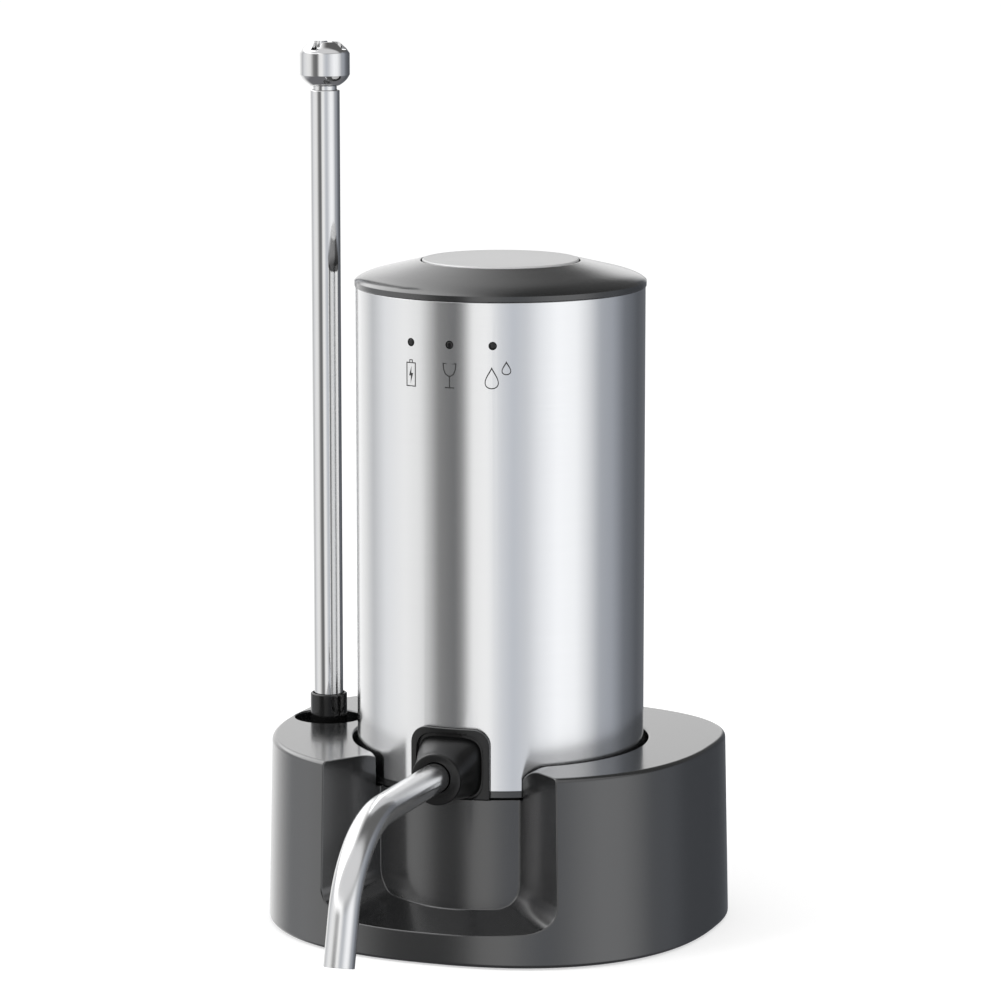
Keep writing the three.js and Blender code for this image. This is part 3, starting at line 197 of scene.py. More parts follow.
def tidied(piece, spacing):
    """Joins the slivers that a cut leaves, so that the edges after it can be rounded."""
    pick(piece)
    bpy.ops.object.mode_set(mode="EDIT")
    bpy.ops.mesh.select_all(action="SELECT")
    bpy.ops.mesh.remove_doubles(threshold=0.03 * MM)
    bpy.ops.mesh.dissolve_limited(angle_limit=math.radians(0.3))
    bpy.ops.mesh.select_all(action="DESELECT")
    bpy.ops.mesh.select_mode(type="EDGE")
    bpy.ops.mesh.edges_select_sharp(sharpness=math.radians(28))
    bpy.ops.mesh.remove_doubles(threshold=spacing)
    bpy.ops.mesh.select_mode(type="VERT")
    bpy.ops.object.mode_set(mode="OBJECT")
    return piece


def soften(piece, width, segments=3, angle=35, clamp=True):
    """Rounds the sharp edges."""
    pick(piece)
    modifier = piece.modifiers.new("soften", "BEVEL")
    modifier.width = width
    modifier.segments = segments
    modifier.limit_method = "ANGLE"
    modifier.angle_limit = math.radians(angle)
    modifier.use_clamp_overlap = clamp
    bpy.ops.object.modifier_apply(modifier=modifier.name)
    return settle(piece)


def walled(piece, thickness):
    """Gives a sheet its wall, half of it to each side."""
    pick(piece)
    modifier = piece.modifiers.new("wall", "SOLIDIFY")
    modifier.thickness = thickness
    modifier.offset = 0
    bpy.ops.object.modifier_apply(modifier=modifier.name)
    return piece


def half_across(node):
    """Half of a CAD node's width."""
    low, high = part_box(node)
    return (high.x - low.x) / 2


def finish_piece(piece, body, finish, stands_for=(), angle=30):
    """Shades a piece, gives it its finish and body, and hides the CAD nodes that it stands for."""
    pick(piece)
    bpy.ops.object.shade_smooth_by_angle(angle=math.radians(angle))
    shading = piece.modifiers.new("flat_faces_stay_flat", "WEIGHTED_NORMAL")
    shading.keep_sharp = True
    bpy.ops.object.modifier_apply(modifier=shading.name)
    piece.data.materials.clear()
    piece.data.materials.append(FINISHES[finish])
    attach(piece, body)
    if stands_for:
        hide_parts(*stands_for)
    return piece


# Finishes

FINISHES = {}


def shader_of(name):
    """Starts a finish, and puts it into the list of finishes."""
    material = bpy.data.materials.new(name)
    FINISHES[name] = material
    material.use_nodes = True
    tree = material.node_tree
    coordinates = tree.nodes.new("ShaderNodeTexCoord")
    return tree, tree.nodes["Principled BSDF"], coordinates


def noise_of(tree, coordinates, scale, detail=3, stretch=None):
    """A noise pattern through the piece, stretched where asked."""
    noise = tree.nodes.new("ShaderNodeTexNoise")
    noise.inputs["Scale"].default_value = scale
    noise.inputs["Detail"].default_value = detail
    if stretch:
        mapping = tree.nodes.new("ShaderNodeMapping")
        mapping.inputs["Scale"].default_value = stretch
        tree.links.new(coordinates.outputs["Object"], mapping.inputs["Vector"])
        tree.links.new(mapping.outputs["Vector"], noise.inputs["Vector"])
    else:
        tree.links.new(coordinates.outputs["Object"], noise.inputs["Vector"])
    return noise


def tint(tree, factor, low, high, target):
    """Colours a socket between two tones by a pattern."""
    mix = tree.nodes.new("ShaderNodeMix")
    mix.data_type = "RGBA"
    mix.inputs["A"].default_value = (*low, 1)
    mix.inputs["B"].default_value = (*high, 1)
    tree.links.new(factor, mix.inputs["Factor"])
    tree.links.new(mix.outputs["Result"], target)


def ranged(tree, value, low, high, target):
    """Feeds a socket with a pattern's value, between two numbers."""
    reach = tree.nodes.new("ShaderNodeMapRange")
    reach.inputs["To Min"].default_value = low
    reach.inputs["To Max"].default_value = high
    tree.links.new(value, reach.inputs["Value"])
    tree.links.new(reach.outputs["Result"], target)


def bumped(tree, value, height, shader):
    """Makes the surface uneven by a pattern."""
    bump = tree.nodes.new("ShaderNodeBump")
    bump.inputs["Strength"].default_value = 1
    bump.inputs["Distance"].default_value = height
    tree.links.new(value, bump.inputs["Height"])
    tree.links.new(bump.outputs["Normal"], shader.inputs["Normal"])


def plain_finish(name, low, high, roughness, grain, height, **others):
    """A finish with a fine grain: tone and gloss wander a little, and the surface is a little uneven."""
    tree, shader, coordinates = shader_of(name)
    for socket, value in others.items():
        shader.inputs[socket.replace("_", " ")].default_value = value
    cloud = noise_of(tree, coordinates, 60, 4)
    tint(tree, cloud.outputs["Fac"], low, high, shader.inputs["Base Color"])
    fine = noise_of(tree, coordinates, grain)
    ranged(tree, fine.outputs["Fac"], *roughness, shader.inputs["Roughness"])
    bumped(tree, fine.outputs["Fac"], height, shader)


def grey(value, blue=0.0):
    """A grey tone, with that share of blue added."""
    return (value, value * (1 + blue / 2), value * (1 + blue))


def brushed_finish(name):
    """Steel brushed round and round: fine level scratches."""
    tree, shader, coordinates = shader_of(name)
    shader.inputs["Metallic"].default_value = 1
    shader.inputs["Anisotropic"].default_value = 0.8
    shader.inputs["Anisotropic Rotation"].default_value = 0.25
    scratches = noise_of(tree, coordinates, 60, 6, (1.2, 1.2, 130))
    tint(tree, scratches.outputs["Fac"], grey(0.87, 0.01), grey(0.93, 0.01), shader.inputs["Base Color"])
    ranged(tree, scratches.outputs["Fac"], 0.16, 0.2, shader.inputs["Roughness"])
    bumped(tree, scratches.outputs["Fac"], 0.001 * MM, shader)
    tangent = tree.nodes.new("ShaderNodeTangent")
    tangent.direction_type = "RADIAL"
    tangent.axis = "Z"
    tree.links.new(tangent.outputs["Tangent"], shader.inputs["Tangent"])


def board_finish(name):
    """Green lacquer with the copper tracks showing through."""
    tree, shader, coordinates = shader_of(name)
    tracks = tree.nodes.new("ShaderNodeTexBrick")
    tracks.inputs["Scale"].default_value = 300
    tracks.inputs["Mortar Size"].default_value = 0.05
    tracks.inputs["Color1"].default_value = (0.012, 0.10, 0.035, 1)
    tracks.inputs["Color2"].default_value = (0.016, 0.13, 0.05, 1)
    tracks.inputs["Mortar"].default_value = (0.05, 0.24, 0.08, 1)
    mapping = tree.nodes.new("ShaderNodeMapping")
    mapping.inputs["Rotation"].default_value = (math.radians(90), 0, 0)
    tree.links.new(coordinates.outputs["Object"], mapping.inputs["Vector"])
    tree.links.new(mapping.outputs["Vector"], tracks.inputs["Vector"])
    tree.links.new(tracks.outputs["Color"], shader.inputs["Base Color"])
    ranged(tree, tracks.outputs["Fac"], 0.3, 0.45, shader.inputs["Roughness"])


plain_finish("base_plastic", grey(0.013, 0.06), grey(0.016, 0.06), (0.2, 0.24), 2600, 0.0003 * MM,
             Specular_IOR_Level=1, Coat_Weight=1, Coat_Roughness=0.14)
plain_finish("soft_rubber", grey(0.018), grey(0.026), (0.6, 0.75), 1800, 0.02 * MM)
plain_finish("nose_rubber", grey(0.004), grey(0.006), (0.26, 0.32), 2600, 0.001 * MM)
brushed_finish("brushed_steel")
plain_finish("cap_plastic", grey(0.012, 0.04), grey(0.015, 0.04), (0.2, 0.24), 2600, 0.0003 * MM,
             Specular_IOR_Level=0.8, Coat_Weight=1, Coat_Roughness=0.12)
plain_finish("button_satin", grey(0.68), grey(0.74), (0.34, 0.42), 2600, 0.004 * MM, Metallic=0.3)
plain_finish("polished_steel", grey(0.8), grey(0.86), (0.05, 0.09), 500, 0.0004 * MM, Metallic=1)
plain_finish("satin_steel", grey(0.84), grey(0.9), (0.17, 0.22), 700, 0.0006 * MM, Metallic=1)
plain_finish("plain_steel", grey(0.5), grey(0.58), (0.25, 0.4), 900, 0.004 * MM, Metallic=1)
plain_finish("collar_gloss", grey(0.006), grey(0.008), (0.08, 0.13), 600, 0.001 * MM)
plain_finish("lens_black", grey(0.004), grey(0.006), (0.1, 0.16), 900, 0.001 * MM)
plain_finish("inner_plastic", grey(0.66), grey(0.72), (0.4, 0.5), 1500, 0.01 * MM)
plain_finish("clear_silicone", grey(0.7), grey(0.76), (0.3, 0.4), 900, 0.005 * MM, Transmission_Weight=0.5)
board_finish("circuit_board")
plain_finish("battery_wrap", (0.03, 0.12, 0.32), (0.04, 0.14, 0.36), (0.22, 0.3), 900, 0.006 * MM)
plain_finish("wire_insulation", (0.42, 0.03, 0.025), (0.5, 0.04, 0.03), (0.35, 0.45), 1200, 0.004 * MM)
plain_finish("dark_iron", grey(0.08), grey(0.12), (0.45, 0.6), 1500, 0.01 * MM, Metallic=0.6)
plain_finish("printed_ink", grey(0.02), grey(0.03), (0.4, 0.5), 3000, 0.002 * MM)


# Storage base

base_low, base_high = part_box("base_shell")
sleeve_low, sleeve_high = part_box("outer_sleeve")
BASE_DRAFT = 0.9 * MM
BASE_CENTRE_Y = 6 * MM
FRONT_POWER = 2.35
REAR_POWER = 2.65
base_centre_x = (base_low.x + base_high.x) / 2
base_half = (base_high.x - base_low.x) / 2 - BASE_DRAFT
base_front = BASE_CENTRE_Y - base_low.y - BASE_DRAFT
base_rear = (base_high.y - BASE_CENTRE_Y) / (1 + BASE_DRAFT / base_front)
base_top = base_high.z


def plan_place(angle, inset, height):
    """A place on the base's oval plan, which is rounder in front and squarer behind."""
    across, along = math.cos(angle), math.sin(angle)
    depth = (base_front if along < 0 else base_rear) - inset
    power = 2 / (FRONT_POWER if along < 0 else REAR_POWER)
    x = (base_half - inset) * math.copysign(abs(across) ** power, across)
    y = depth * math.copysign(abs(along) ** power, along)
    drop = (1 - height / base_top) * BASE_DRAFT
    return Vector((base_centre_x + x * (1 + drop / base_half), BASE_CENTRE_Y + y * (1 + drop / base_front),
                   height))


def oval(name, steps, sides=240):
    """A body on the oval plan, from (inset, height) steps."""
    piece = turned(name, [(base_half - inset, height) for inset, height in steps], sides=sides)

    def onto_plan(place):
        inset = base_half - math.hypot(place.x, place.y)
        return plan_place(math.atan2(place.y, place.x), inset, place.z)

    return reshape(piece, onto_plan)


sleeve_radius = sleeve_high.x
pocket_radius = sleeve_radius + 1 * MM
pedestal_radius = sleeve_radius
pocket_floor = base_top - 7 * MM
tube_low, tube_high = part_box("outer_tube")
tube_place = ((tube_low.x + tube_high.x) / 2, (tube_low.y + tube_high.y) / 2)
WINDOW_HALF = 14.2 * MM
WINDOW_FLOOR = 10.3 * MM
WINDOW_MIDDLE = -3.25 * MM
WINDOW_SKEW = math.tan(math.radians(17.7))
WINDOW_SPLAY = math.tan(math.radians(44.6))
WINDOW_FALL = math.tan(math.radians(11.6))
throat_y = -math.sqrt(pedestal_radius ** 2 - (WINDOW_HALF - WINDOW_MIDDLE) ** 2)


def window_flare():
    """The space in front of the pedestal: it opens to the front, and its floor falls."""
    corner = 5.2 * MM
    inner = WINDOW_HALF - corner
    far_above = base_top * 2.2
    outline = [(-WINDOW_HALF, far_above)]
    outline += arc((-inner, WINDOW_FLOOR + corner), corner, 180, 270, 14)
    outline += arc((inner, WINDOW_FLOOR + corner), corner, 270, 360, 14)
    outline += [(WINDOW_HALF, far_above)]
    piece = drawn("window_flare", [(x + WINDOW_MIDDLE, z) for x, z in outline], throat_y)
    run = throat_y + base_front
    shift = run * WINDOW_SKEW
    fall = run * WINDOW_FALL
    bpy.ops.mesh.extrude_region_move(TRANSFORM_OT_translate={"value": (shift, -run, -fall)})
    wider = 1 + run * WINDOW_SPLAY / WINDOW_HALF
    bpy.ops.transform.resize(value=(wider, 1, 1), center_override=(WINDOW_MIDDLE + shift, -base_front, 0))
    bpy.ops.object.mode_set(mode="OBJECT")
    return settle(piece)


def wall_end(side):
    """Where a side wall of the window meets the pedestal."""
    start = WINDOW_MIDDLE + side * WINDOW_HALF
    slope = WINDOW_SKEW + side * WINDOW_SPLAY
    steepness = slope ** 2 + 1
    approach = start * slope - throat_y
    short = max(pedestal_radius ** 2 - start ** 2 - throat_y ** 2, 0)
    run = (math.sqrt(approach ** 2 + steepness * short) - approach) / steepness
    return start + slope * run, throat_y - run


def horn_cutter(side):
    """Rounds the inner top corner of one side wall, where it meets the pocket."""
    radius = 5.8 * MM if side > 0 else 3 * MM
    end_x, end_y = wall_end(side)
    outline = [(-EDGE, base_top + EDGE), (-EDGE, base_top - radius), (0, base_top - radius)]
    outline += arc((radius, base_top - radius), radius, 180, 90, 9)
    outline += [(radius, base_top + EDGE)]
    outline = [(end_x + side * x, z) for x, z in outline]
    return pushed("horn_cutter", outline, end_y + radius, (0, -base_front, 0))


def base_shell():
    """The moulding, with its window, pocket, well, and the recess and bore for the suction tube."""
    low = base_low.z
    wall = 2 * MM
    plate_seat = 4 * MM
    steps = [(wall, plate_seat), (wall, low), (EDGE, low)]
    steps += arc((EDGE, low + EDGE), EDGE, 270, 180)[1:]
    steps += arc((EDGE, base_top - EDGE), EDGE, 180, 90, 8)
    shell = oval("base_shell_moulding", steps)
    flare = window_flare()
    pedestal = turned("pedestal", [(pedestal_radius, 0), (pedestal_radius, base_top * 3)], sides=192)
    combine(flare, pedestal)
    combine(shell, flare)
    for side in (1, -1):
        combine(shell, horn_cutter(side))
    over = base_top + EDGE
    rim = 0.5 * MM
    pocket = [(pocket_radius, pocket_floor), (pocket_radius, base_top - rim)]
    pocket += arc((pocket_radius + rim, base_top - rim), rim, 180, 90)[1:] + [(pocket_radius + rim, over)]
    combine(shell, turned("pocket", pocket, sides=192))
    well_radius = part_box("bottle_stopper")[1].x + 1.1 * MM
    well_floor = 5.6 * MM
    combine(shell, turned("well", [(well_radius, well_floor), (well_radius, over)]))
    recess_radius = 7.2 * MM
    recess_floor = base_top - 7 * MM
    recess_rim = 0.35 * MM
    recess = [(recess_radius, recess_floor), (recess_radius, base_top - recess_rim)]
    recess += arc((recess_radius + recess_rim, base_top - recess_rim), recess_rim, 180, 90)[1:]
    recess += [(recess_radius + recess_rim, over)]
    combine(shell, turned("recess", recess, tube_place))
    bore = half_across("tube_collar") + 0.3 * MM
    bore_floor = 17 * MM
    combine(shell, turned("bore", [(bore, bore_floor), (bore, base_top)], tube_place, 48))
    tidied(shell, 0.4 * MM)
    soften(shell, 0.25 * MM, 3, 28, clamp=False)
    return finish_piece(shell, "base", "base_plastic", ["base_shell"])


base_shell()


def foot_pad():
    low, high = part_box("foot_pad")
    inset = base_half - half_across("foot_pad") / (1 + BASE_DRAFT / base_half)
    edge = 0.3 * MM
    steps = [(inset + edge, low.z), (inset, edge), (inset, high.z)]
    return finish_piece(oval("foot_pad_sheet", steps, 120), "base", "soft_rubber", ["foot_pad"])


foot_pad()


# Dispenser

LENSES = ("indicator_lens_1", "indicator_lens_2", "indicator_lens_3")
NECK_HALF = 6.1 * MM


def lying_pin(radius, inner, outer, angle, height):
    """A pin that points outwards at an angle from the front, for cutting a hole."""
    piece = turned("pin", [(radius, inner), (radius, outer)], sides=32)
    turn = Matrix.Rotation(math.radians(angle), 4, "Z") @ Matrix.Rotation(math.radians(90), 4, "X")
    piece.data.transform(Matrix.Translation((0, 0, height)) @ turn)
    return settle(piece)


def outer_sleeve():
    """The sleeve, with holes for the lenses, the charging port and the nose's neck."""
    bore = sleeve_radius - 0.6 * MM
    low, high = sleeve_low.z, sleeve_high.z
    edge = 0.2 * MM
    profile = [(bore, low), (sleeve_radius - edge, low)]
    profile += arc((sleeve_radius - edge, low + edge), edge, -90, 0, 4)[1:]
    profile += arc((sleeve_radius - edge, high - edge), edge, 0, 90, 4)
    profile += [(bore, high), (bore, low)]
    sleeve = turned("sleeve_tube", profile, sides=192)
    lens_hole = 0.85 * MM
    for lens in LENSES:
        lens_low, lens_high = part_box(lens)
        middle = (lens_low + lens_high) / 2
        angle = math.degrees(math.atan2(middle.x, -middle.y))
        combine(sleeve, lying_pin(lens_hole, 0, sleeve_radius + EDGE, angle, middle.z))
    outwards = sleeve_radius * 1.1
    socket_low, socket_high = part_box("charging_socket")
    gap = 0.45 * MM
    end_radius = ((socket_high.z - socket_low.z) / 2 + gap) * 0.999
    port = rounded_plate(socket_high.x + gap, socket_low.z - gap, socket_high.z + gap, end_radius)
    combine(sleeve, pushed("port_cut", port, 0, (0, outwards, 0)))
    ring_height = 1.4 * MM
    neck_height = 12.1 * MM
    neck = rounded_plate(NECK_HALF, low - EDGE, low - ring_height + neck_height, 0.3 * MM, 2)
    combine(sleeve, pushed("neck_cut", neck, 0, (0, -outwards, 0)))
    return finish_piece(sleeve, "dispenser", "brushed_steel", ["outer_sleeve"])


def top_cap():
    """The dome, its rim over the sleeve, and the well and web that hold the button."""
    low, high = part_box("top_cap")
    radius = high.x
    band = sleeve_high.z + 1.2 * MM
    rise = high.z - band
    shares = zip((1, 0.967, 0.891, 0.728, 0.604, 0.56), (0, 0.18, 0.4, 0.7, 0.92, 1))
    dome = smooth_line([(radius * across, band + rise * up) for across, up in shares], 5)
    lip = dome[-1][0]
    well = lip - 0.4 * MM
    web = sleeve_high.z - 4.5 * MM
    web_top = web + 1.5 * MM
    wall = 1.8 * MM
    roof = 2.2 * MM
    inside = sleeve_radius - 0.9 * MM
    hole = 3 * MM
    edge = 0.2 * MM
    profile = [(hole, web), (well + wall, web), (well + wall, high.z - roof),
               (inside - wall, band + rise / 2 - roof), (inside - wall, low.z), (inside, low.z),
               (inside, sleeve_high.z), (radius - edge, sleeve_high.z),
               *arc((radius - edge, sleeve_high.z + edge), edge, -90, 0, 3)[1:], *dome,
               *arc((lip - edge, high.z - edge), edge, 90, 180, 3),
               (well, web_top), (hole, web_top), (hole, web)]
    cap = turned("domed_cap", profile, sides=192)
    return finish_piece(cap, "dispenser", "cap_plastic", ["top_cap"], 40)


def power_button():
    """The disc with its skirt, and the stem under it with the flange that keeps it in the cap."""
    low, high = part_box("power_button")
    radius = high.x
    under = high.z - 1.6 * MM
    bore = radius - 1.4 * MM
    skirt = under - 3 * MM
    flange = 3.8 * MM
    flange_top = low.z + 0.9 * MM
    stem = 2.6 * MM
    edge = 0.35 * MM
    profile = [(flange, low.z), (flange, flange_top), (stem, flange_top), (stem, under), (bore, under),
               (bore, skirt), (radius, skirt), *arc((radius - edge, high.z - edge), edge, 0, 90, 5)]
    disc = turned("button_disc", profile, sides=160)
    return finish_piece(disc, "button", "button_satin", ["power_button"])


def button_spring():
    """The coil spring under the button, copied from the CAD node's mesh."""
    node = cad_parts["button_spring"]
    spring = bpy.data.objects.new("coil_spring", node.data.copy())
    bpy.context.scene.collection.objects.link(spring)
    settle(spring)
    finish_piece(spring, "dispenser", "plain_steel", ["button_spring"], 60)
    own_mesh(spring)
    return spring


def indicator_lenses():
    """One small domed lens, copied for each of the three."""
    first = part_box("indicator_lens_2")
    radius = (first[1].z - first[0].z) / 2
    height = (first[0].z + first[1].z) / 2
    inner = -first[1].y
    bulge = [(radius, sleeve_radius - 0.15 * MM), (radius * 0.85, sleeve_radius - 0.05 * MM),
             (radius * 0.5, sleeve_radius - 0.01 * MM), (radius * 0.1, sleeve_radius)]
    lens = turned("lens", [(radius, inner)] + bulge, sides=32)
    for node in LENSES:
        low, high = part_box(node)
        middle = (low + high) / 2
        angle = math.atan2(middle.x, -middle.y)
        one = lens.copy()
        one.data = lens.data.copy()
        one.name = node + "_dome"
        bpy.context.scene.collection.objects.link(one)
        turn = Matrix.Rotation(angle, 4, "Z") @ Matrix.Rotation(math.radians(90), 4, "X")
        one.data.transform(Matrix.Translation((0, 0, height)) @ turn)
        finish_piece(one, "dispenser", "lens_black", [node], 40)
    bpy.data.objects.remove(lens)


# Printed marks: thin ink on the sleeve

def inked(name, outlines, angle):
    """Ink between an outline and the one inside it, bent round the sleeve at an angle from the front."""
    points = []
    faces = []
    for outer, inner in outlines:
        start = len(points)
        count = len(outer)
        points += list(outer) + list(inner)
        for i in range(count):
            j = (i + 1) % count
            faces.append((start + i, start + j, start + count + j, start + count + i))
    mesh = bpy.data.meshes.new(name)
    mesh.from_pydata([(x, 0, z) for x, z in points], [], faces)
    piece = bpy.data.objects.new(name, mesh)
    bpy.context.scene.collection.objects.link(piece)
    turn = math.radians(angle)

    def onto_sleeve(place):
        around = turn + place.x / sleeve_radius
        radius = sleeve_radius + 0.01 * MM - place.y
        return Vector((radius * math.sin(around), -radius * math.cos(around), place.z))

    walled(settle(piece), 0.02 * MM)
    reshape(piece, onto_sleeve)
    return finish_piece(piece, "dispenser", "printed_ink")


def frame_of(left, right, low, high, stroke):
    """A rectangle's outline, and the one a stroke further in."""
    outer = [(left, low), (right, low), (right, high), (left, high)]
    inner = [(left + stroke, low + stroke), (right - stroke, low + stroke),
             (right - stroke, high - stroke), (left + stroke, high - stroke)]
    return outer, inner


def drop_of(x, low, width, height, stroke):
    """A drop's outline, with its tip up, and the same outline a stroke further in."""
    steps = 48
    taper = 1.6

    def outline(wide, foot, tall):
        line = []
        for i in range(steps):
            turn = 2 * math.pi * i / steps
            across = wide / taper * math.sin(turn) * abs(math.sin(turn / 2)) ** taper
            line.append((x + across, foot + tall * (1 + math.cos(turn)) / 2))
        return line

    return outline(width, low, height), outline(width - 2 * stroke, low + stroke, height - 3.4 * stroke)


def filled(points):
    """A small filled shape: its outline, and a tiny one in its middle."""
    across = sum(x for x, z in points) / len(points)
    up = sum(z for x, z in points) / len(points)
    tiny = 0.02
    return points, [(across + (x - across) * tiny, up + (z - up) * tiny) for x, z in points]


def printed_marks():
    """The marks under the lenses: a battery with its bolt, a wine glass, and a large and a small drop."""
    stroke = 0.22 * MM
    low = indicator_height - 9 * MM
    left_mark = -17
    right_mark = 17

    def placed(*points):
        return [(x * MM, low + z * MM) for x, z in points]

    battery = [frame_of(-1.18 * MM, 1.18 * MM, low, low + 4.95 * MM, stroke),
               frame_of(-0.42 * MM, 0.42 * MM, low + 4.74 * MM, low + 5.5 * MM, 0.18 * MM)]
    inked("battery_mark", battery, left_mark)
    bolt = placed((0.1, 4.1), (-0.5, 2.2), (-0.02, 2.2), (-0.12, 0.7), (0.52, 2.75), (0.05, 2.75))
    upper, middle, lower = bolt[:2] + [bolt[5]], [bolt[1], bolt[2], bolt[4], bolt[5]], bolt[2:5]
    inked("bolt_mark", [filled(upper), filled(middle), filled(lower)], left_mark)
    large_drop = drop_of(-0.2 * MM, low + 0.25 * MM, 3.3 * MM, 4.55 * MM, stroke)
    inked("large_drop_mark", [large_drop], right_mark)
    small_drop = drop_of(2.75 * MM, low + 3.1 * MM, 2.25 * MM, 2.9 * MM, stroke)
    inked("small_drop_mark", [small_drop], right_mark)
    bowl = placed((-1.5, 5.3), (-1.35, 3.9), (-0.95, 3), (-0.3, 2.55), (0.3, 2.55), (0.95, 3), (1.35, 3.9),
                  (1.5, 5.3))
    inside = placed((-1.25, 5.08), (-1.12, 3.98), (-0.8, 3.18), (-0.24, 2.78), (0.24, 2.78), (0.8, 3.18),
                    (1.12, 3.98), (1.25, 5.08))
    stem = placed((-0.11, 0.4), (0.11, 0.4), (0.11, 2.6), (-0.11, 2.6))
    foot = placed((-1, 0.2), (1, 0.2), (1, 0.42), (-1, 0.42))
    inked("glass_mark", [(bowl, inside), filled(stem), filled(foot)], 0)


lens_low, lens_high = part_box("indicator_lens_2")
indicator_height = (lens_low.z + lens_high.z) / 2
outer_sleeve()
top_cap()
power_button()
button_spring()
indicator_lenses()
printed_marks()


# Nose and spout

seal_low, seal_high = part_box("spout_seal")
spout_height = (seal_low.z + seal_high.z) / 2
rest = spout_height - 5.8 * MM
nose_low, nose_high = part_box("spout_bezel")
nose_end = nose_low.y
spout_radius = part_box("spout_tube")[1].x
NOSE_SQUARENESS = 4
NOSE_HALF_WIDTH = 6.95 * MM
NOSE_HALF_HEIGHT = 6.55 * MM
NOSE_DISC_RADIUS = 5.3 * MM
NOSE_DISC_HEIGHT = 5.35 * MM
PLATE_HALF_WIDTH = 8.5 * MM


def square_reach(across, up, grow=0.0):
    """How far the nose's rounded square reaches in that direction."""
    power = NOSE_SQUARENESS
    return ((abs(across) / (NOSE_HALF_WIDTH + grow)) ** power
            + (abs(up) / (NOSE_HALF_HEIGHT + grow)) ** power) ** (-1 / power)


def nose_block():
    """The nose, from a rounded block against the sleeve to a disc in front.

    Each step is a share of the nose's reach and a share of its depth.
    """
    root = -sleeve_radius + EDGE
    front = 1.02
    steps = [(1, i / 14) for i in range(15)] + [(0.985, 1.012), (0.95, front), (0.665, front)]
    steps += [(0.66, front - 0.01), (0.64, front - 0.01)]
    block = turned("nose", steps, sides=120)

    def onto_nose(place):
        share = min(place.z, 1)
        round_share = math.hypot(place.x, place.y)
        across, up = place.x / round_share, place.y / round_share
        ease = share * share * (3 - 2 * share) * 0.5 + share * 0.5
        reach = (square_reach(across, up) * (1 - ease) + NOSE_DISC_RADIUS * ease) * round_share
        centre = NOSE_HALF_HEIGHT + (NOSE_DISC_HEIGHT - NOSE_HALF_HEIGHT) * ease
        depth = root + (nose_end - root) * place.z / front
        return Vector((across * reach, depth, rest + centre + up * reach))

    return reshape(block, onto_nose)


def nose_core(name, radius):
    """An upright cylinder round the sleeve's axis, over the nose's whole height."""
    return turned(name, [(radius, rest - 2 * MM), (radius, rest + 20 * MM)], sides=192)


def nose_groove():
    """The narrow groove in the plate, round the nose's root."""
    turns = [math.radians(i * 3) for i in range(120)]
    outline = []
    for turn in turns:
        reach = square_reach(math.cos(turn), math.sin(turn), 0.3 * MM)
        outline.append((reach * math.cos(turn), rest + NOSE_HALF_HEIGHT + reach * math.sin(turn)))
    tool = pushed("groove", outline, 0, (0, -sleeve_radius * 1.3, 0))
    return combine(tool, nose_core("groove_floor", sleeve_radius + 0.75 * MM))


def nose_plate():
    """The thin plate of the nose, bent round the sleeve."""
    corner = 3.5 * MM
    plate_top = rest + 14.4 * MM
    outline = rounded_plate(PLATE_HALF_WIDTH, rest, plate_top, corner, 8)
    outline = [(x, z) for x, z in outline if z > rest + corner]
    outline = [(PLATE_HALF_WIDTH, rest)] + outline + [(-PLATE_HALF_WIDTH, rest)]
    piece = pushed("plate", outline, 0, (0, -sleeve_radius * 1.3, 0))
    inner = sleeve_radius + 0.3 * MM
    outer = inner + EDGE
    below, above = rest - EDGE, rest + 16 * MM
    ring = [(inner, below), (outer, below), (outer, above), (inner, above), (inner, below)]
    bent = turned("bent", ring, sides=192)
    return combine(piece, bent, "INTERSECT")


def spout_bezel():
    """The nose: plate and groove, the block in front, the neck behind, and the hole for the tube."""
    plate = nose_plate()
    combine(plate, nose_groove())
    tidied(plate, 0.2 * MM)
    soften(plate, 0.14 * MM, 2, 40, clamp=False)
    block = combine(nose_block(), nose_core("sleeve_space", sleeve_radius + 0.5 * MM))
    combine(plate, block, "UNION")
    neck = rounded_plate(5.8 * MM, rest + 0.3 * MM, rest + 11.8 * MM, 1.5 * MM, 4)
    neck_back = nose_high.y
    neck_reach = sleeve_radius + 0.6 * MM + neck_back
    combine(plate, pushed("neck", neck, neck_back, (0, -neck_reach, 0)), "UNION")
    combine(plate, lying_pin(spout_radius + 0.2 * MM, 0, 50 * MM, 0, spout_height))
    return finish_piece(plate, "dispenser", "nose_rubber", ["spout_bezel"], 35)


def spout_tube():
    """The bent tube: a ring of points, extruded along the straight, spun round the bend and out."""
    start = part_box("spout_tube")[1].y
    bend_start = nose_end - 28.5 * MM
    bend = 22 * MM
    angle = 75
    end_length = 10 * MM
    wall = 0.5 * MM
    deselect_all()
    bpy.ops.mesh.primitive_circle_add(vertices=40, radius=spout_radius - wall / 2,
                                      location=(0, start, spout_height),
                                      rotation=(math.radians(90), 0, 0))
    piece = bpy.context.object
    piece.name = "spout_pipe"
    bpy.ops.object.transform_apply(location=True, rotation=True, scale=True)
    bpy.ops.object.mode_set(mode="EDIT")
    bpy.ops.mesh.extrude_edges_move(TRANSFORM_OT_translate={"value": (0, bend_start - start, 0)})
    bpy.ops.mesh.spin(steps=24, angle=math.radians(angle), use_normal_flip=False,
                      center=(0, bend_start, spout_height - bend), axis=(-1, 0, 0))
    tip = Vector((0, -math.cos(math.radians(angle)), -math.sin(math.radians(angle)))) * end_length
    bpy.ops.mesh.extrude_edges_move(TRANSFORM_OT_translate={"value": tip})
    bpy.ops.object.mode_set(mode="OBJECT")
    walled(settle(piece), wall)
    soften(piece, 0.12 * MM, 2, 50)
    return finish_piece(piece, "dispenser", "satin_steel", ["spout_tube"], 40)


spout_bezel()
spout_tube()


# Bottom ring, stopper and stem

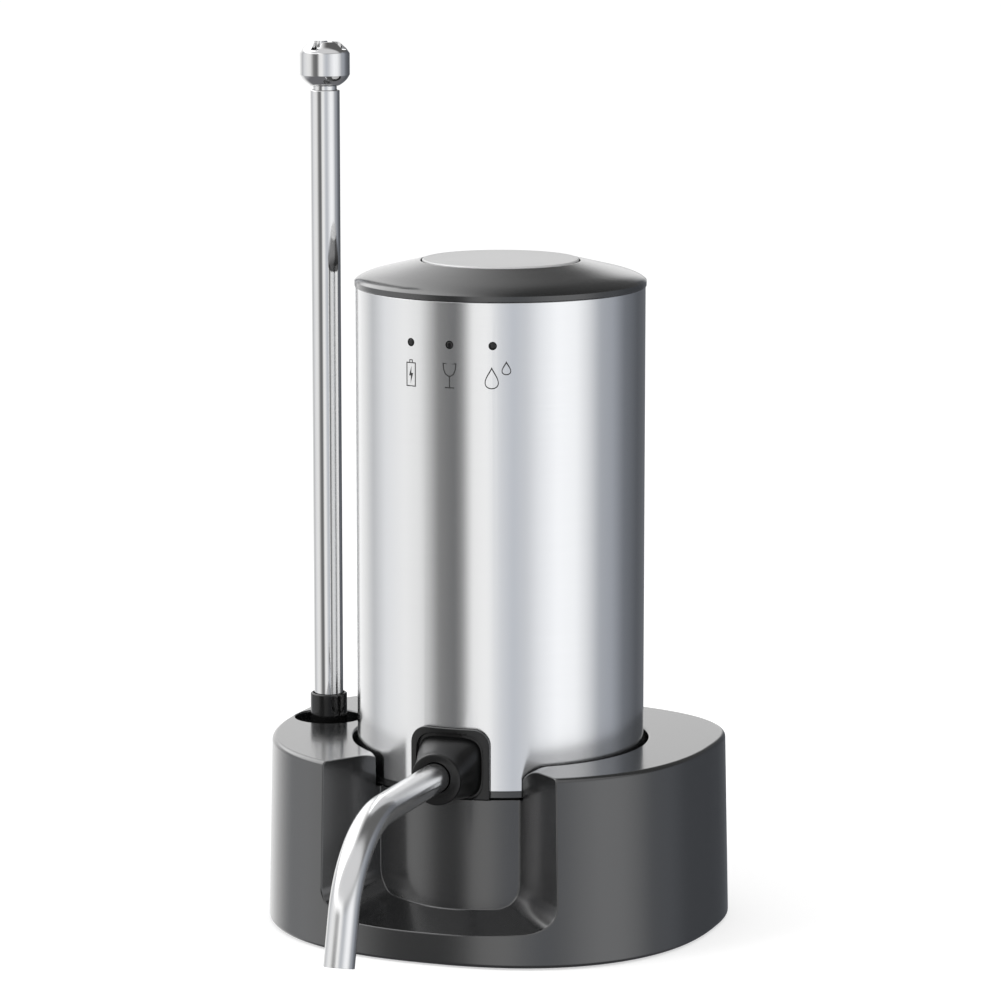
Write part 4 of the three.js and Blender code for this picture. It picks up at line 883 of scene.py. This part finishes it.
def bottom_cap():
    """The dark ring under the sleeve, with its floor and the pipe that carries the stopper."""
    low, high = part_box("bottom_cap")
    ring = sleeve_low.z
    mouth = 4.6 * MM
    pipe = 6 * MM
    top = rest + 2 * MM
    inside = sleeve_radius - 0.9 * MM
    bore = inside - 1.8 * MM
    edge = 0.25 * MM
    profile = [(mouth, low.z), (pipe, low.z), (pipe, rest), (sleeve_radius - edge, rest),
               *arc((sleeve_radius - edge, rest + edge), edge, -90, 0, 4)[1:], (sleeve_radius, ring),
               (inside, ring), (inside, high.z), (bore, high.z), (bore, top), (mouth, top), (mouth, low.z)]
    cap = turned("foot_ring", profile, sides=192)
    shank = 1.3 * MM
    seat = rest + 1.2 * MM
    for name in ("cap_screw_1", "cap_screw_2", "cap_screw_3"):
        screw_low, screw_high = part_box(name)
        middle = (screw_low + screw_high) / 2
        head = half_across(name) + 0.35 * MM
        hole = [(head, rest - EDGE), (head, seat), (shank, seat), (shank, rest + 3 * MM)]
        combine(cap, turned("screw_seat", hole, (middle.x, middle.y), 48))
    neck = rounded_plate(NECK_HALF, rest - EDGE, high.z + EDGE, 0.3 * MM, 2)
    start = nose_high.y + 0.3 * MM
    combine(cap, pushed("neck_space", neck, start, (0, -sleeve_radius - EDGE - start, 0)))
    elbow = rounded_plate(3.8 * MM, rest - 3.8 * MM, rest + 5.8 * MM, 0.3 * MM, 2)
    combine(cap, pushed("elbow_space", elbow, 0, (0, -7 * MM, 0)))
    port = 0.9 * MM
    port_place = (-9 * MM, 4 * MM)
    combine(cap, turned("air_port", [(port, rest - EDGE), (port, rest + 3 * MM)], port_place, 24))
    return finish_piece(cap, "dispenser", "cap_plastic", ["bottom_cap"])


def bottle_stopper():
    """The soft stopper: a flange and four ribs that widen upwards."""
    low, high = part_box("bottle_stopper")
    bore = 6.3 * MM
    wall = bore + 2 * MM
    under = high.z - 2 * MM
    pitch = (under - low.z) / 5
    edge = 0.3 * MM
    rim = 0.5 * MM
    first_tip = 9.2 * MM
    last_tip = 10 * MM
    profile = [(bore, low.z), (wall - edge, low.z), (wall, low.z + edge)]
    for i in range(4):
        foot = low.z + pitch * (i + 0.45)
        head = foot + pitch * 0.55
        tip = first_tip + (last_tip - first_tip) * i / 3
        rib = [(wall + 0.2 * MM, foot + edge), (tip - 0.15 * MM, head - 0.5 * MM), (tip, head - 0.2 * MM),
               (tip - 0.2 * MM, head)]
        profile += [(wall, foot), *smooth_line(rib, 3), (wall, head)]
    profile += [(wall, under), (high.x - edge, under), (high.x, under + edge),
                *arc((high.x - rim, high.z - rim), rim, 0, 90, 4), (bore, high.z), (bore, low.z)]
    stopper = turned("ribbed_stopper", profile)
    return finish_piece(stopper, "dispenser", "soft_rubber", ["bottle_stopper"], 40)


def inlet_stem():
    """The pipe under the stopper, with the groove of its seal ring and its flange above."""
    low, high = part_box("inlet_stem")
    seal_low, seal_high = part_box("inlet_seal")
    bore = 2.2 * MM
    radius = 3 * MM
    groove = 2.5 * MM
    play = 0.3 * MM
    flange = high.x
    under = high.z - 2 * MM
    edge = 0.2 * MM
    profile = [(bore, low.z), (radius - edge, low.z), (radius, low.z + edge), (radius, seal_low.z - play),
               (groove, seal_low.z - play), (groove, seal_high.z + play), (radius, seal_high.z + play),
               (radius, under), (flange, under), (flange, high.z), (bore, high.z), (bore, low.z)]
    stem = turned("inlet_pipe", profile, sides=64)
    return finish_piece(stem, "dispenser", "polished_steel", ["inlet_stem"])


bottom_cap()
bottle_stopper()
inlet_stem()


# Suction tube

def collar():
    low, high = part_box("tube_collar")
    radius = half_across("tube_collar")
    bore = radius - 0.5 * MM
    edge = 0.35 * MM
    profile = [(bore, low.z), (radius, low.z), *arc((radius - edge, high.z - edge), edge, 0, 90, 5),
               (bore, high.z), (bore, low.z)]
    sleeve = turned("collar_sleeve", profile, tube_place, 64)
    return finish_piece(sleeve, "suction_tube", "collar_gloss", ["tube_collar"])


def outer_pipe():
    radius = half_across("outer_tube")
    bore = radius - 0.3 * MM
    lip = half_across("inner_tube") + 0.15 * MM
    edge = 0.25 * MM
    top = tube_high.z
    lip_foot = top - 0.5 * MM
    profile = [(bore, tube_low.z), (radius, tube_low.z), *arc((radius - edge, top - edge), edge, 0, 90, 4),
               (lip, top), (lip, lip_foot), (bore, lip_foot), (bore, tube_low.z)]
    pipe = turned("outer_pipe", profile, tube_place, 64)
    return finish_piece(pipe, "suction_tube", "polished_steel", ["outer_tube"])


def inner_pipe():
    low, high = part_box("inner_tube")
    radius = half_across("inner_tube")
    bore = radius - 0.4 * MM
    profile = [(bore, low.z), (radius, low.z), (radius, high.z), (bore, high.z), (bore, low.z)]
    pipe = turned("inner_pipe", profile, tube_place, 48)
    return finish_piece(pipe, "tube_extension", "polished_steel", ["inner_tube"])


def inlet_knob():
    """The round knob at the tube's end: a socket below, a bore through it and two slots across its top."""
    low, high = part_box("inlet_foot")
    radius = half_across("inlet_foot")
    tall = high.z - low.z

    def sized(*shares):
        return [(radius * across, low.z + tall * up) for across, up in shares]

    lower = smooth_line(sized((0.56, 0), (0.74, 0.07), (0.9, 0.16), (1, 0.26)), 4)
    upper = sized((1, 0.74), (0.86, 0.86), (0.68, 0.95), (0.56, 1))
    knob = turned("inlet_knob", lower + upper, tube_place)
    socket = half_across("inner_tube") + 0.3 * MM
    combine(knob, turned("socket", [(socket, low.z - EDGE), (socket, low.z + 2 * MM)], tube_place))
    bore = 1.9 * MM
    combine(knob, turned("bore", [(bore, low.z + EDGE), (bore, high.z + EDGE)], tube_place))
    slot_half = 0.9 * MM
    slot_floor = high.z - 1.6 * MM
    for turn in (-5, 85):
        outline = rounded_plate(slot_half, slot_floor, high.z + EDGE, 0.1 * MM, 2)
        slot = pushed("slot", outline, -10 * MM, (0, 20 * MM, 0))
        slot.data.transform(Matrix.Translation((*tube_place, 0))
                            @ Matrix.Rotation(math.radians(turn), 4, "Z"))
        combine(knob, slot)
    tidied(knob, 0.1 * MM)
    soften(knob, 0.1 * MM, 2, 45)
    return finish_piece(knob, "tube_extension", "polished_steel", ["inlet_foot"], 35)


collar()
outer_pipe()
inner_pipe()
inlet_knob()


# The CAD nodes that stay get a finish. A name that ends in _ stands for all the nodes that it begins

NODE_FINISHES = {
    "base_plastic": ("bottom_plate",),
    "soft_rubber": ("inlet_seal", "spout_seal", "pump_diaphragm"),
    "brushed_steel": ("motor_can",),
    "cap_plastic": ("motor_end_cap", "tact_switch"),
    "plain_steel": ("base_screw_", "cap_screw_", "motor_shaft", "charging_socket"),
    "inner_plastic": ("chassis", "pump_cover", "drive_plate", "pump_housing", "pump_crank",
                      "indicator_lamp_", "friction_ring"),
    "clear_silicone": ("air_hose", "outlet_elbow"),
    "circuit_board": ("front_board", "switch_board", "charge_board"),
    "battery_wrap": ("battery",),
    "wire_insulation": ("battery_wire", "motor_wire"),
    "dark_iron": ("motor_magnet", "rotor_core"),
}
for node_name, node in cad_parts.items():
    for finish, names in NODE_FINISHES.items():
        numbered = tuple(name for name in names if name.endswith("_"))
        if node_name in names or node_name.startswith(numbered):
            for place in node.material_slots:
                place.material = FINISHES[finish]


# Floor, world and lamps

def floor():
    """A pale floor that keeps the shadow. It is brighter for the camera, and clear for glossy surfaces."""
    deselect_all()
    bpy.ops.mesh.primitive_plane_add(size=6, location=(0, 1, 0))
    plane = bpy.context.object
    plane.name = "floor"
    material = bpy.data.materials.new("pale_floor")
    material.use_nodes = True
    tree = material.node_tree
    tree.nodes.clear()
    output = tree.nodes.new("ShaderNodeOutputMaterial")
    paint = tree.nodes.new("ShaderNodeBsdfDiffuse")
    paint.inputs["Color"].default_value = (0.8, 0.8, 0.8, 1)
    glow = tree.nodes.new("ShaderNodeEmission")
    glow.inputs["Color"].default_value = (0.52, 0.52, 0.52, 1)
    lit = tree.nodes.new("ShaderNodeAddShader")
    through = tree.nodes.new("ShaderNodeBsdfTransparent")
    path = tree.nodes.new("ShaderNodeLightPath")
    seen = tree.nodes.new("ShaderNodeMixShader")
    mirrored = tree.nodes.new("ShaderNodeMixShader")
    tree.links.new(paint.outputs[0], lit.inputs[0])
    tree.links.new(glow.outputs[0], lit.inputs[1])
    tree.links.new(path.outputs["Is Camera Ray"], seen.inputs["Fac"])
    tree.links.new(paint.outputs[0], seen.inputs[1])
    tree.links.new(lit.outputs[0], seen.inputs[2])
    tree.links.new(path.outputs["Is Glossy Ray"], mirrored.inputs["Fac"])
    tree.links.new(seen.outputs[0], mirrored.inputs[1])
    tree.links.new(through.outputs[0], mirrored.inputs[2])
    tree.links.new(mirrored.outputs[0], output.inputs["Surface"])
    plane.data.materials.append(material)
    return plane


CARDS = [(-180, 1, 0), (-152, 1, 0), (-136, 0.8, 0), (-122, 0.54, 0.03), (-104, 0.8, 0.02), (-82, 0.9, 0),
         (-67, 0.82, 0), (-58, 0.5, 0), (-50, 0.22, 0), (-36, 0.15, 0.02), (-30, 0.3, 0), (-22, 0.9, 0),
         (-10, 0.95, 0), (0, 0.7, 0.04), (10, 0.57, 0.08), (20, 0.64, 0.05), (32, 0.88, 0.03),
         (46, 1.05, 0.02), (62, 1, 0.02), (74, 0.75, 0.03), (86, 0.42, 0.08), (100, 0.36, 0.1),
         (116, 0.18, 0.12), (140, 0.1, 0.12), (154, 0.12, 0.1), (172, 0.16, 0.1), (180, 0.9, 0)]


def studio_world():
    """Even soft light, a white ground for the camera, and for glossy surfaces cards and flags all round.

    In the turned directions X points at the camera, Y to its right and Z up. Each of the CARDS is an angle
    from X towards Y, a tone, and how blue it is.
    """
    world = bpy.data.worlds.new("studio")
    bpy.context.scene.world = world
    world.use_nodes = True
    tree = world.node_tree
    tree.nodes.clear()

    def math_of(operation, one, other):
        node = tree.nodes.new("ShaderNodeMath")
        node.operation = operation
        tree.links.new(one, node.inputs[0])
        tree.links.new(other, node.inputs[1])
        return node.outputs[0]

    def light_of(*tone):
        light = tree.nodes.new("ShaderNodeBackground")
        light.inputs["Color"].default_value = (*tone, 1)
        return light

    def ranged_part(part, low, high, at_low, at_high):
        reach = tree.nodes.new("ShaderNodeMapRange")
        reach.interpolation_type = "SMOOTHSTEP"
        reach.inputs["From Min"].default_value = low
        reach.inputs["From Max"].default_value = high
        reach.inputs["To Min"].default_value = at_low
        reach.inputs["To Max"].default_value = at_high
        tree.links.new(split.outputs[part], reach.inputs["Value"])
        return reach.outputs[0]

    def even(*tone):
        colour = tree.nodes.new("ShaderNodeRGB")
        colour.outputs[0].default_value = (*tone, 1)
        return colour.outputs[0]

    def laid_over(colours, cover, factor):
        mix = tree.nodes.new("ShaderNodeMix")
        mix.data_type = "RGBA"
        tree.links.new(factor, mix.inputs["Factor"])
        tree.links.new(colours, mix.inputs["A"])
        tree.links.new(cover, mix.inputs["B"])
        return mix.outputs["Result"]

    def either_light(factor, first, second):
        mix = tree.nodes.new("ShaderNodeMixShader")
        tree.links.new(factor, mix.inputs["Fac"])
        tree.links.new(first.outputs[0], mix.inputs[1])
        tree.links.new(second.outputs[0], mix.inputs[2])
        return mix

    coordinates = tree.nodes.new("ShaderNodeTexCoord")
    turn = tree.nodes.new("ShaderNodeVectorRotate")
    turn.rotation_type = "Z_AXIS"
    turn.inputs["Angle"].default_value = math.radians(90 - CAMERA_ROUND)
    tree.links.new(coordinates.outputs["Generated"], turn.inputs["Vector"])
    split = tree.nodes.new("ShaderNodeSeparateXYZ")
    tree.links.new(turn.outputs[0], split.inputs[0])

    reach = tree.nodes.new("ShaderNodeMapRange")
    reach.inputs["From Min"].default_value = -math.pi
    reach.inputs["From Max"].default_value = math.pi
    tree.links.new(math_of("ARCTAN2", split.outputs["Y"], split.outputs["X"]), reach.inputs["Value"])
    ramp = tree.nodes.new("ShaderNodeValToRGB")
    band = ramp.color_ramp
    while len(band.elements) < len(CARDS):
        band.elements.new(0.5)
    for element, (angle, tone, blue) in zip(band.elements, CARDS):
        element.position = (angle + 180) / 360
        element.color = (tone * (1 - blue / 2), tone, tone * (1 + blue), 1)
    tree.links.new(reach.outputs[0], ramp.inputs["Fac"])

    # White behind, except on the right
    behind = math_of("MULTIPLY", ranged_part("X", -0.92, -0.8, 1, 0), ranged_part("Z", -0.06, 0.08, 0, 1))
    behind = math_of("MULTIPLY", behind, ranged_part("Y", 0.1, 0.3, 1, 0))
    around = laid_over(ramp.outputs["Color"], even(1, 1, 1), behind)
    # A ceiling that is bright on the left and dark on the right, and grey in front
    ceiling = ranged_part("Y", -0.6, 0.14, 2.4, 0.12)
    around = laid_over(around, ceiling, ranged_part("Z", 0.2, 0.42, 0, 1))
    in_front = math_of("MULTIPLY", ranged_part("X", 0, 0.3, 0, 1), ranged_part("Z", 0.25, 0.5, 0, 1))
    around = laid_over(around, even(0.7, 0.7, 0.71), in_front)
    # Dark below
    around = laid_over(around, even(0.16, 0.16, 0.17), ranged_part("Z", -0.75, -0.4, 1, 0))

    mirrored = light_of(1, 1, 1)
    tree.links.new(around, mirrored.inputs["Color"])
    path = tree.nodes.new("ShaderNodeLightPath")
    unseen = either_light(path.outputs["Is Glossy Ray"], light_of(0.62, 0.62, 0.62), mirrored)
    seen = math_of("MAXIMUM", path.outputs["Is Camera Ray"], path.outputs["Is Transmission Ray"])
    output = tree.nodes.new("ShaderNodeOutputWorld")
    tree.links.new(either_light(seen, unseen, light_of(1, 1, 1)).outputs[0], output.inputs["Surface"])


def lamp(name, place, size, power):
    """A soft square lamp that points at the object, and that nothing mirrors."""
    data = bpy.data.lights.new(name, "AREA")
    data.size = size
    data.energy = power
    lamp_object = bpy.data.objects.new(name, data)
    lamp_object.location = place
    direction = Vector((0, 0, 0.07)) - Vector(place)
    lamp_object.rotation_euler = direction.to_track_quat("-Z", "Y").to_euler()
    lamp_object.visible_glossy = False
    bpy.context.scene.collection.objects.link(lamp_object)


floor()
studio_world()
lamp("key", (-1.1, -1.0, 0.9), 0.9, 12)
lamp("fill", (1.2, -0.9, 0.7), 0.9, 5)
bpy.context.scene.view_settings.view_transform = "Standard"
